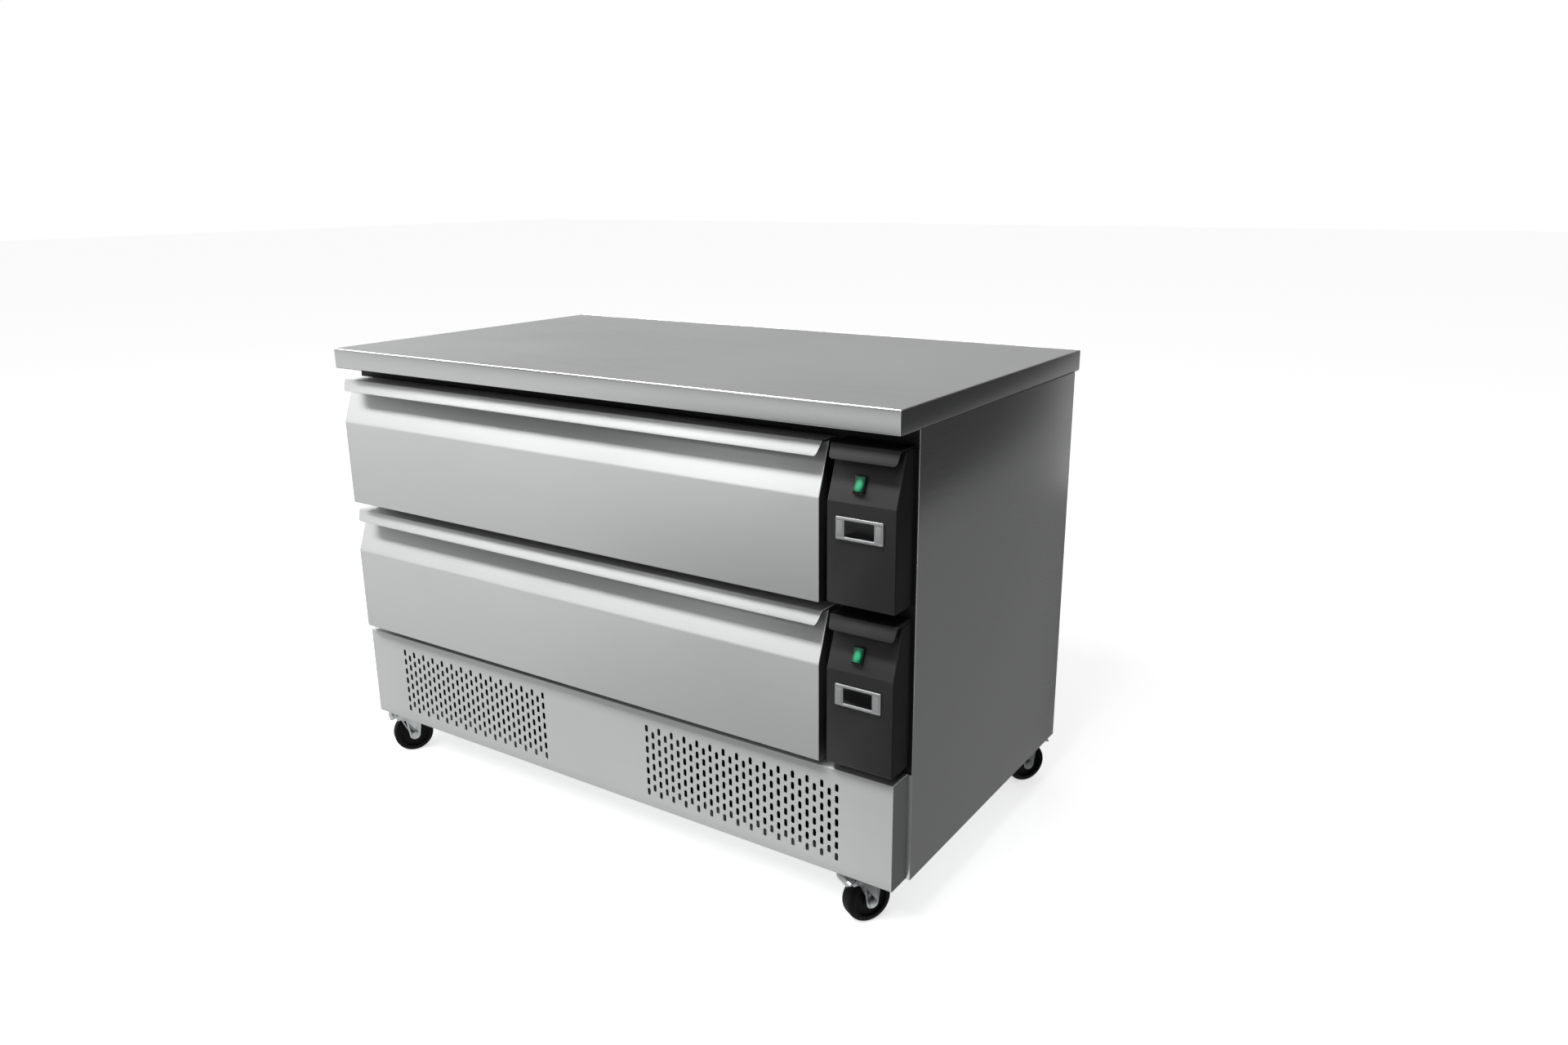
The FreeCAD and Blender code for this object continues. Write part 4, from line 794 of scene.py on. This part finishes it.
def cut_opening(piece, test, place, size):
    """Cuts a rectangle out of a flat face: an inset face is brought to its size and place and taken out."""
    pick(piece, "faces", test)
    bpy.ops.mesh.inset(thickness=INSET)
    corners = [vertex.co for vertex in bmesh.from_edit_mesh(piece.data).verts if vertex.select]
    centre = sum(corners, Vector()) / len(corners)
    across = max(corner.x for corner in corners) - min(corner.x for corner in corners)
    along = 2 * max((corner - centre).yz.length for corner in corners)
    wide, high = size[0] / across, size[1] / along
    scale_about(centre, (wide, high, high))
    bpy.ops.transform.translate(value=Vector(place) - centre)
    bpy.ops.mesh.delete(type="FACE")


def folded_front(name, node, gauge, fold, taper, drop=0.0, openings=()):
    """A front with an upright face, a slope above it and a grip lip along the top."""
    sizes = settings("fridge_fronts")
    low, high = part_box(node)
    slope_top = low.y + sizes.slope_setback
    flange_under = high.z - sizes.lip_gauge
    face = flat(f"{name}_face", (low.x, low.y), (high.x, high.y), low.z - drop)
    edit(face, "EDGE")
    fold_walls(face, [(low.y, low.z - drop), (low.y, low.z + sizes.break_height), (slope_top, flange_under),
                      (high.y, flange_under)])
    for across in (low.x, high.x):
        close_end(face, across)
    take_all()
    bpy.ops.mesh.normals_make_consistent(inside=False)
    for test, place, size in openings:
        cut_opening(face, test, place, size)
    pick(face, "edges", folded)
    bevel(fold, 4)
    leave()
    thicken(face, gauge)
    grip = grip_lip(f"{name}_lip", low, high, taper)
    front = join(name, [face, grip])
    smooth(front)
    return front


def grip_lip(name, low, high, taper):
    """The flange over the slope and the lip that hangs in front of it, with tapered, rounded ends."""
    sizes = settings("fridge_fronts")
    lip_bottom = low.y + sizes.lip_setback
    lip_top = lip_bottom + sizes.lip_lean
    lip_under = high.z - sizes.lip_height
    lip = flat(name, (low.x, lip_top), (high.x, high.y), high.z)
    edit(lip, "EDGE")
    fold_walls(lip, [(lip_top, high.z), (lip_bottom, lip_under)])
    narrow = 1 - 2 * taper / (high.x - low.x)
    scale_about(((low.x + high.x) / 2, lip_bottom, lip_under), (narrow, 1, 1))
    pick(lip, "verts", lambda vertex: near(vertex.co.z, lip_under))
    bevel(sizes.lip_corner, 5, "VERTICES")
    take_all()
    bpy.ops.mesh.normals_make_consistent(inside=False)
    pick(lip, "edges", folded)
    bevel(sizes.lip_fold, 6)
    leave()
    thicken(lip, sizes.lip_gauge)
    ease(lip, sizes.lip_gauge / 4, angle=HEM_ANGLE)
    return lip


class FRIDGE_OT_drawer_fronts(Operator):
    """Folds the two drawer fronts"""
    bl_idname = "fridge.drawer_fronts"
    bl_label = "Drawer fronts"

    def execute(self, context):
        sizes = settings("fridge_fronts")
        for level in LEVELS:
            node = f"{level}_drawer_front_skin"
            front = folded_front(f"{level}_drawer_front", node, sizes.sheet, sizes.fold, sizes.lip_taper,
                                 sizes.face_drop)
            hand_over(front, MATERIALS["steel_front"], node)
        return {"FINISHED"}


def slope_place(level):
    """Where the switch stands on its control panel's slope, and the slope's lean from upright."""
    fronts, controls = settings("fridge_fronts"), settings("fridge_controls")
    low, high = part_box(f"{level}_control_panel")
    rise = high.z - fronts.lip_gauge - low.z - fronts.break_height
    lean = math.atan2(fronts.slope_setback, rise)
    across = JOINTS[f"{level}_rocker_tilt"]["pos_m"][0]
    start = Vector((across, low.y, low.z + fronts.break_height))
    return start + controls.switch_along * Vector((0, math.sin(lean), math.cos(lean))), lean


def controller_place(level):
    """The middle of a controller, between its two keys, on its control panel's face."""
    left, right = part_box(f"{level}_left_key"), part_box(f"{level}_right_key")
    middle_of_keys = (left[0] + right[1]) / 2
    return Vector((middle_of_keys.x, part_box(f"{level}_control_panel")[0].y, middle_of_keys.z))


# The slope looks to the front and up by at least these shares
SLOPE_FRONT, SLOPE_UP = 0.5, 0.2


def control_openings(level):
    """The openings for the switch and the controller, as the face they are in, their place and their size."""
    sizes = settings("fridge_controls")
    inset = 2 * (sizes.switch_inset - sizes.opening_play)
    play = 2 * sizes.opening_play
    return (
        (lambda face: face.normal.y < -SLOPE_FRONT and face.normal.z > SLOPE_UP, slope_place(level)[0],
         (sizes.switch_width - inset, sizes.switch_height - inset)),
        (lambda face: face.normal.y < -SQUARE_ON and face.calc_area() > LARGE_FACE, controller_place(level),
         (sizes.body_width + play, sizes.body_height + play)),
    )


class FRIDGE_OT_control_panels(Operator):
    """Moulds the two control panels to the drawer fronts' outline"""
    bl_idname = "fridge.control_panels"
    bl_label = "Control panels"

    def execute(self, context):
        sizes = settings("fridge_fronts")
        for level in LEVELS:
            node = f"{level}_control_panel"
            front = folded_front(f"{level}_control_fascia", node, sizes.moulding, sizes.moulding_round,
                                 sizes.control_taper, openings=control_openings(level))
            hand_over(front, MATERIALS["black_plastic"], node)
        return {"FINISHED"}


# A slot's ends are rounded by this share of its width, just under half so that the two rounds stay apart
SLOT_END = 0.49


def vent_columns(name, across, step, count, rows, plain_end, top, depth):
    """Columns of cells with a round-ended slot each, all in one flat sheet, from the top down."""
    sizes = settings("fridge_sheet")
    half = sizes.slot_column / 2
    top = top - plain_end
    centre = Vector((across, depth, top - sizes.slot_row / 2))
    cell = plane(name, centre, (sizes.slot_column, sizes.slot_row), STANDING)
    edit(cell, "FACE")
    margin = half - sizes.slot_width / 2
    take_all()
    bpy.ops.mesh.inset(thickness=margin)
    stretch = sizes.slot_height / (sizes.slot_row - 2 * margin)
    scale_about(centre, (1, 1, stretch))
    bevel(SLOT_END * sizes.slot_width, 3, "VERTICES")
    pick(cell, "faces", lambda face: (face.calc_center_median() - centre).length < half / 4)
    bpy.ops.mesh.delete(type="FACE")
    take_all()
    bpy.ops.mesh.bisect(plane_co=centre, plane_no=(0, 0, 1))
    leave()
    apply(cell, "ARRAY", count=rows, use_relative_offset=False, use_constant_offset=True,
          constant_offset_displace=(0, 0, -sizes.slot_row), use_merge_vertices=True, merge_threshold=TOUCH)
    if plain_end:
        edit(cell, "EDGE")
        for height, push in ((top, plain_end), (top - rows * sizes.slot_row, -plain_end)):
            extrude(cell, lambda edge: ends_at(edge, z=height), (0, 0, push))
        leave()
    apply(cell, "ARRAY", count=count, use_relative_offset=False, use_constant_offset=True,
          constant_offset_displace=(step, 0, 0))
    return cell


class FRIDGE_OT_plinth(Operator):
    """Punches the plinth's two fields of vent slots and folds its edges back"""
    bl_idname = "fridge.plinth"
    bl_label = "Vented plinth"

    def execute(self, context):
        sizes = settings("fridge_sheet")
        low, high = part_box("plinth_grille")
        high.z += sizes.plinth_rise
        pitch, half_row = sizes.slot_column, sizes.slot_row / 2
        top = sizes.slot_top + (sizes.slot_row - sizes.slot_height) / 2
        bottom = top - sizes.slot_rows * sizes.slot_row
        full, part = (sizes.slot_columns + 1) // 2, sizes.slot_columns // 2
        fields = []
        for side in (-1, 1):
            start, step = side * sizes.slot_inner, side * 2 * pitch
            fields.append(vent_columns("plinth_screen", start, step, full, sizes.slot_rows, 0, top, low.y))
            fields.append(vent_columns("plinth_screen", start + side * pitch, step, part, sizes.slot_rows - 1,
                                       half_row, top, low.y))
        screen = join("plinth_screen", fields)
        inner = sizes.slot_inner - pitch / 2
        outer = inner + sizes.slot_columns * pitch
        edit(screen, "EDGE")
        for start, end in ((-outer, low.x), (outer, high.x), (-inner, inner)):
            extrude(screen, lambda edge: ends_at(edge, x=start), (end - start, 0, 0))
        take_all()
        bpy.ops.mesh.remove_doubles(threshold=TOUCH)
        extrude(screen, lambda edge: ends_at(edge, z=bottom), (0, 0, low.z - bottom))
        extrude(screen, lambda edge: ends_at(edge, z=top), (0, 0, high.z - top))
        return_step = (0, high.y - low.y, 0)
        pull(return_step)
        for end in (low.x, high.x):
            extrude(screen, lambda edge: ends_at(edge, x=end, y=low.y), return_step)
        extrude(screen, lambda edge: ends_at(edge, y=low.y, z=low.z), (0, sizes.plinth_foot, 0))
        take_all()
        bpy.ops.mesh.remove_doubles(threshold=TOUCH)
        bpy.ops.mesh.normals_make_consistent(inside=False)
        pick(screen, "edges", folded)
        bevel(sizes.plinth_fold, 4)
        leave()
        thicken(screen, sizes.plinth_sheet)
        smooth(screen)
        hand_over(screen, MATERIALS["steel_front"], "plinth_grille")
        return {"FINISHED"}


class FRIDGE_OT_drawer_insides(Operator):
    """Rounds the edges of the liners, the tubs, their seals and the runners"""
    bl_idname = "fridge.drawer_insides"
    bl_label = "Drawer insides"

    def execute(self, context):
        edges = settings("fridge_edges")
        for level in LEVELS:
            rounded(f"{level}_drawer_tub", edges.tub, 3)
            rounded(f"{level}_drawer_gasket", edges.seal, 3)
            rounded(f"{level}_drawer_liner", edges.liner, material=MATERIALS["steel_x"])
            for runner in ("inner", "middle"):
                rounded(f"{level}_{runner}_runners", edges.runner)
        rounded("fixed_runners", edges.runner)
        return {"FINISHED"}


def flanged_body(name, body, flange, depth, proud):
    """A body about the origin with a wider flange on its front, which faces the front."""
    case = block(name, (-body[0] / 2, 0, -body[1] / 2), (body[0] / 2, depth, body[1] / 2))
    edit(case, "FACE")
    pick(case, "faces", lambda face: face.normal.y < -NEARLY_ON)
    pull((0, 0, 0))
    scale_about((0, 0, 0), (flange[0] / body[0], 1, flange[1] / body[1]))
    pull((0, -proud, 0))
    pick(case, "edges", lambda edge: near(abs(middle(edge).x), flange[0] / 2)
         and near(abs(middle(edge).z), flange[1] / 2))
    bevel(settings("fridge_controls").flange_corner, 4)
    leave()
    return case


def sink_pocket(case, across, height, depth, narrow=(0, 0)):
    """Sinks a rectangle of the front, given as two (low, high) ranges; the second step draws its sides in."""
    edit(case, "FACE")
    for axis, ends in ((0, across), (2, height)):
        for end in ends:
            place, normal = Vector(), Vector()
            place[axis], normal[axis] = end, 1
            take_all()
            bpy.ops.mesh.bisect(plane_co=place, plane_no=normal)
    front = min(vertex.co.y for vertex in bmesh.from_edit_mesh(case.data).verts)
    pick(case, "faces", lambda face: near(face.calc_center_median().y, front)
         and across[0] < face.calc_center_median().x < across[1]
         and height[0] < face.calc_center_median().z < height[1])
    pull((0, depth, 0))
    wide, high = across[1] - across[0], height[1] - height[0]
    centre = ((across[0] + across[1]) / 2, 0, (height[0] + height[1]) / 2)
    scale_about(centre, (1 - 2 * narrow[0] / wide, 1, 1 - 2 * narrow[1] / high))


def both_ways(size):
    return -size / 2, size / 2


def switch_housing(level):
    """A rocker switch's housing on the slope, open for its rocker."""
    sizes = settings("fridge_controls")
    flange = (sizes.switch_width, sizes.switch_height)
    body = [side - 2 * sizes.switch_inset for side in flange]
    housing = flanged_body(f"{level}_switch_housing", body, flange, sizes.switch_depth, sizes.switch_proud)
    sink_pocket(housing, both_ways(sizes.well_width), both_ways(sizes.well_height), sizes.well_depth)
    leave()
    place, lean = slope_place(level)
    stand(housing, place, Matrix.Rotation(-lean, 4, "X"))
    return housing


def controller_case(level):
    """A controller's case: a flange with a sunk window between two end blocks, and a pocket for each key."""
    sizes = settings("fridge_controls")
    place = controller_place(level)
    low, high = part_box("controller_cases")
    case = flanged_body(f"{level}_controller_case", (sizes.body_width, sizes.body_height),
                        (sizes.case_width, sizes.case_height), high.y - place.y, place.y - low.y)
    for side in ("left", "right"):
        key_low, key_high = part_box(f"{level}_{side}_key")
        gap = sizes.key_gap
        sink_pocket(case, (key_low.x - place.x - gap, key_high.x - place.x + gap),
                    (key_low.z - place.z - gap, key_high.z - place.z + gap), sizes.key_pocket)
    sink_pocket(case, both_ways(sizes.window_width), both_ways(sizes.window_height), sizes.window_sink,
                (sizes.side_ledge, sizes.ledge))
    pull((0, sizes.window_gauge, 0))
    leave()
    stand(case, place, Matrix())
    return case


def display_window(level):
    """The dark window at the bottom of a controller's opening."""
    sizes = settings("fridge_controls")
    place = controller_place(level)
    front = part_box("controller_cases")[0].y + sizes.window_sink
    half = Vector((sizes.window_width / 2 - sizes.side_ledge - sizes.key_gap / 2, 0,
                   sizes.window_height / 2 - sizes.ledge - sizes.key_gap / 2))
    start = Vector((place.x, front, place.z))
    return block(f"{level}_display_window", start - half, start + half + Vector((0, sizes.window_gauge, 0)))


class FRIDGE_OT_controls(Operator):
    """Moulds the switch housings and the controllers with their windows, and rounds the rockers and keys"""
    bl_idname = "fridge.controls"
    bl_label = "Switches and controllers"

    def execute(self, context):
        edges = settings("fridge_edges")
        groups = {
            "switch_housings": (switch_housing, MATERIALS["switch_nylon"], edges.switch),
            "controller_cases": (controller_case, finish_of("controller_cases"), edges.case),
            "display_windows": (display_window, finish_of("display_windows"), edges.window),
        }
        for node, (make, material, edge_round) in groups.items():
            finish(join(f"moulded_{node}", [make(level) for level in LEVELS]), material, node, edge_round, 3)
        for level in LEVELS:
            rounded(f"{level}_rocker", edges.rocker, 3, MATERIALS[f"{level}_lens"])
            for side in ("left", "right"):
                rounded(f"{level}_{side}_key", edges.key)
        return {"FINISHED"}


def axle_turn(corner):
    """The wheel's middle, and the turn that brings the X axis onto its axle."""
    roll = JOINTS[f"{corner}_wheel_roll"]
    return Vector(roll["pos_m"]), Matrix.Rotation(math.atan2(roll["axis"][1], roll["axis"][0]), 4, "Z")


def press_legs(fork):
    """Presses a panel into the outer face of both legs of a fork that stands about its axle."""
    sizes = settings("fridge_castors")
    for side in (-1, 1):
        edit(fork, "FACE")
        pick(fork, "faces", lambda face: face.normal.x * side > SQUARE_ON
             and near(face.calc_center_median().x, side * sizes.leg_out))
        bpy.ops.mesh.inset(thickness=sizes.leg_rim, use_boundary=True)
        bpy.ops.transform.translate(value=(-side * sizes.leg_press, 0, 0))
        leave()


# The foot plate slopes a little, so its top looks up by at least this share
FOOT_PLATE = 0.8


def rim_pedal(pedal):
    """Rounds the corners of a pedal's foot plate and sinks its top inside a rim."""
    sizes = settings("fridge_castors")
    tip = min(vertex.co.y for vertex in pedal.data.vertices)
    side = max(vertex.co.x for vertex in pedal.data.vertices)
    edit(pedal, "EDGE")
    pick(pedal, "edges", lambda edge: near(middle(edge).y, tip) and near(abs(middle(edge).x), side))
    bevel(sizes.pedal_corner, 5)
    pick(pedal, "faces", lambda face: face.normal.z > FOOT_PLATE
         and face.calc_center_median().y < -sizes.pedal_start)
    bpy.ops.mesh.inset(thickness=sizes.pedal_rim)
    bpy.ops.transform.translate(value=(0, 0, -sizes.pedal_sink))
    leave()


# Sides of a wheel's round, and the most corners that a face beside its discs has
WHEEL_SIDES = 72
PLAIN_CORNERS = 8


def castor_wheel(name, radius):
    """A wheel about the X axis, with a round-shouldered tyre, a sunk web and a hub."""
    sizes = settings("fridge_castors")
    deselect()
    bpy.ops.mesh.primitive_cylinder_add(vertices=WHEEL_SIDES, radius=radius, depth=sizes.wheel_width,
                                        rotation=(0, math.pi / 2, 0))
    wheel = settle(name)
    edit(wheel, "EDGE")
    pick(wheel, "edges", lambda edge: near(edge.verts[0].co.x, edge.verts[1].co.x))
    bevel(sizes.tread_round, 6)
    # The bevel swells the tread a little, so it is drawn back to its radius
    reach = max(vertex.co.yz.length for vertex in bmesh.from_edit_mesh(wheel.data).verts)
    take_all()
    scale_about((0, 0, 0), (1, radius / reach, radius / reach))
    for side in (-1, 1):
        pick(wheel, "faces", lambda face: face.normal.x * side > SQUARE_ON
             and len(face.verts) > PLAIN_CORNERS)
        bpy.ops.mesh.inset(thickness=sizes.tyre_depth - sizes.tread_round)
        pull((-side * sizes.web_sink, 0, 0))
        bpy.ops.mesh.inset(thickness=radius - sizes.tyre_depth - sizes.hub_radius)
        pull((side * sizes.web_sink, 0, 0))
    leave()
    ease(wheel, settings("fridge_edges").wheel)
    smooth(wheel)
    return wheel


class FRIDGE_OT_castors(Operator):
    """Makes the castors' wheels, and presses and rounds their forks and brake pedals"""
    bl_idname = "fridge.castors"
    bl_label = "Castors"

    def execute(self, context):
        sizes = settings("fridge_castors")
        pressings = {
            "castor_fork": (press_legs, sizes.fork_round),
            "brake_pedal": (rim_pedal, sizes.pedal_round),
        }
        rounded("castor_plates", settings("fridge_edges").plate)
        for corner in CORNERS:
            place, turn = axle_turn(corner)
            back = (Matrix.Translation(place) @ turn).inverted()
            for kind, (shape, edge_round) in pressings.items():
                node = f"{corner}_{kind}"
                piece = copied(node)
                stand(piece, Vector(), back)
                shape(piece)
                stand(piece, place, turn)
                finish(piece, finish_of(node), node, edge_round)
            node = f"{corner}_castor_wheel"
            wheel = castor_wheel(f"{corner}_wheel", place.z)
            stand(wheel, place, turn)
            hand_over(wheel, finish_of(node), node)
        return {"FINISHED"}


# Lamps, in metres: the softbox in front gives the matt parts their light and the shadow on the floor, and the
# strip overhead gives the steel its highlights
KEY_PLACE, KEY_TILT, KEY_SIZE = (-0.4, -2.6, 3.4), math.radians(38), (3.0, 2.0)
STRIP_PLACE, STRIP_TILT, STRIP_SIZE = (-2.6, -1.3, 4.2), math.radians(13), (8.8, 0.6)

# Grey cards for the finishes to mirror, in metres: place, turn, size and strength
CARDS = {
    # On the right, for the side panel's dark grey
    "right_card": ((1.0, 1.5, 0.26), SIDEWAYS, (5.0, 0.72), 0.19),
    "right_upper_card": ((1.0, 1.5, 1.56), SIDEWAYS, (5.0, 1.88), 0.05),
    "right_floor_card": ((1.5, 1.0, 0.003), LYING, (1.75, 4.0), 0.2),
    # Behind, for the worktop's even grey
    "back_card": ((-4.0, 3.5, 2.9), STANDING, (12.0, 4.0), 0.48),
    # In front, for the shading of the drawer fronts and the plinth
    "front_card": ((-5.0, -6.0, 4.85), STANDING, (14.0, 8.0), 0.06),
    "front_floor_card": ((-0.6, -2.65, 0.003), LYING, (2.6, 1.7), 0.7),
    # In front, for the dark control panels and the glints on their slopes and lips
    "control_floor_card": ((-0.05, -1.5, 0.005), LYING, (1.0, 1.4), 0.1),
    "control_card": ((-2.7, -5.9, 2.9), STANDING, (1.0, 1.8), 2.4),
    "control_lip_card": ((-2.9, -5.9, 4.6), STANDING, (1.1, 1.2), 6.5),
}


class FRIDGE_OT_stage(Operator):
    """Sets the floor, the white room, the lamps and the camera"""
    bl_idname = "fridge.stage"
    bl_label = "Studio"

    def execute(self, context):
        studio = settings("fridge_studio")
        white_room(context.scene, studio.ambient)
        floor()
        key = softbox("front_softbox", KEY_PLACE, KEY_TILT, KEY_SIZE, studio.key)
        key.visible_glossy = False
        strip = softbox("overhead_strip", STRIP_PLACE, STRIP_TILT, STRIP_SIZE, studio.strip)
        strip.visible_diffuse = False
        for name, values in CARDS.items():
            card(name, *values)
        camera(context.scene, studio)
        context.scene.view_settings.view_transform = "Standard"
        return {"FINISHED"}


def seen_directly(tree):
    """One for rays from the camera, from a mirror or through glass, and nothing for diffuse light."""
    path = add(tree, "ShaderNodeLightPath").outputs
    mirrored = reckon(tree, "MAXIMUM", path["Is Camera Ray"], path["Is Glossy Ray"])
    return reckon(tree, "MAXIMUM", mirrored, path["Is Transmission Ray"])


def white_room(scene, ambient):
    """A world that is white to the camera and to mirrors, and dimmer as a light."""
    world = bpy.data.worlds.new("white_room")
    scene.world = world
    tree = bare_tree(world)
    strength = span(tree, seen_directly(tree), ambient, 1.0, 0.0, 1.0)
    room = add(tree, "ShaderNodeBackground", {"Color": WHITE, "Strength": strength})
    add(tree, "ShaderNodeOutputWorld", {"Surface": room.outputs["Background"]})


# A matt white studio floor, in metres: bright enough to clip to white, and shadows still show on it.
FLOOR_SIZE = 60
FLOOR_WHITE = (0.8, 0.8, 0.8, 1.0)
FLOOR_LIFT = 0.6


def floor():
    deselect()
    bpy.ops.mesh.primitive_plane_add(size=FLOOR_SIZE)
    ground = settle("studio_floor")
    material = bpy.data.materials.new("matt_white_floor")
    tree = bare_tree(material)
    path = add(tree, "ShaderNodeLightPath").outputs
    matt = add(tree, "ShaderNodeBsdfDiffuse", {"Color": FLOOR_WHITE}).outputs["BSDF"]
    lift = span(tree, path["Is Camera Ray"], 0.0, FLOOR_LIFT, 0.0, 1.0)
    glow = add(tree, "ShaderNodeEmission", {"Color": WHITE, "Strength": lift}).outputs["Emission"]
    lifted = add(tree, "ShaderNodeAddShader", {0: matt, 1: glow}).outputs["Shader"]
    plain = add(tree, "ShaderNodeEmission", {"Color": WHITE, "Strength": 1.0}).outputs["Emission"]
    seen = add(tree, "ShaderNodeMixShader", {0: path["Is Glossy Ray"], 1: lifted, 2: plain}).outputs["Shader"]
    add(tree, "ShaderNodeOutputMaterial", {"Surface": seen})
    ground.data.materials.append(material)


def softbox(name, place, tilt, size, power):
    """A lamp that looks down, tilted towards the back by an angle."""
    lamp = bpy.data.lights.new(name, "AREA")
    lamp.shape = "RECTANGLE"
    lamp.size, lamp.size_y = size
    lamp.energy = power
    stand = bpy.data.objects.new(name, lamp)
    bpy.context.scene.collection.objects.link(stand)
    stand.location = place
    stand.rotation_euler = (tilt, 0, 0)
    return stand


def card(name, place, turn, size, strength):
    """A grey card out of the picture, which only mirrors show."""
    sheet = plane(name, place, size, turn)
    material = bpy.data.materials.new(name)
    tree = bare_tree(material)
    grey = add(tree, "ShaderNodeEmission", {"Color": WHITE, "Strength": strength})
    add(tree, "ShaderNodeOutputMaterial", {"Surface": grey.outputs["Emission"]})
    sheet.data.materials.append(material)
    sheet.visible_camera = False
    sheet.visible_diffuse = False
    sheet.visible_shadow = False


# Width of the camera's sensor in millimetres
SENSOR_WIDTH = 36


def camera(scene, studio):
    lens = bpy.data.cameras.new("photo_camera")
    lens.sensor_width = SENSOR_WIDTH
    lens.lens = studio.lens
    stand = bpy.data.objects.new("photo_camera", lens)
    scene.collection.objects.link(stand)
    turn = (Matrix.Rotation(studio.azimuth, 4, "Z") @ Matrix.Rotation(math.pi / 2 - studio.elevation, 4, "X")
            @ Matrix.Rotation(studio.roll, 4, "Z"))
    stand.matrix_world = Matrix.Translation(studio.camera_place) @ turn
    scene.camera = stand


OPERATORS = (
    FRIDGE_OT_finishes,
    FRIDGE_OT_worktop,
    FRIDGE_OT_side_panels,
    FRIDGE_OT_drawer_fronts,
    FRIDGE_OT_control_panels,
    FRIDGE_OT_plinth,
    FRIDGE_OT_drawer_insides,
    FRIDGE_OT_controls,
    FRIDGE_OT_castors,
    FRIDGE_OT_stage,
)


class FRIDGE_PT_panel(Panel):
    """Lists the steps that dress the fridge freezer"""
    bl_idname = "FRIDGE_PT_panel"
    bl_label = "Drawer fridge"
    bl_space_type = "VIEW_3D"
    bl_region_type = "UI"
    bl_category = "Drawer fridge"

    def draw(self, context):
        for operator in OPERATORS:
            self.layout.operator(operator.bl_idname)


def register():
    for name, group in SETTINGS.items():
        # The label of each setting is its own name in plain words
        for setting, value in group.__annotations__.items():
            value.keywords["name"] = setting.replace("_", " ").capitalize()
        bpy.utils.register_class(group)
        setattr(bpy.types.Scene, name, PointerProperty(type=group))
    for operator in OPERATORS:
        bpy.utils.register_class(operator)
    bpy.utils.register_class(FRIDGE_PT_panel)


def unregister():
    bpy.utils.unregister_class(FRIDGE_PT_panel)
    for operator in reversed(OPERATORS):
        bpy.utils.unregister_class(operator)
    for name, group in SETTINGS.items():
        delattr(bpy.types.Scene, name)
        bpy.utils.unregister_class(group)


def main():
    register()
    bpy.ops.fridge.finishes()
    bpy.ops.fridge.worktop()
    bpy.ops.fridge.side_panels()
    bpy.ops.fridge.drawer_fronts()
    bpy.ops.fridge.control_panels()
    bpy.ops.fridge.plinth()
    bpy.ops.fridge.drawer_insides()
    bpy.ops.fridge.controls()
    bpy.ops.fridge.castors()
    bpy.ops.fridge.stage()


if __name__ == "__main__":
    main()
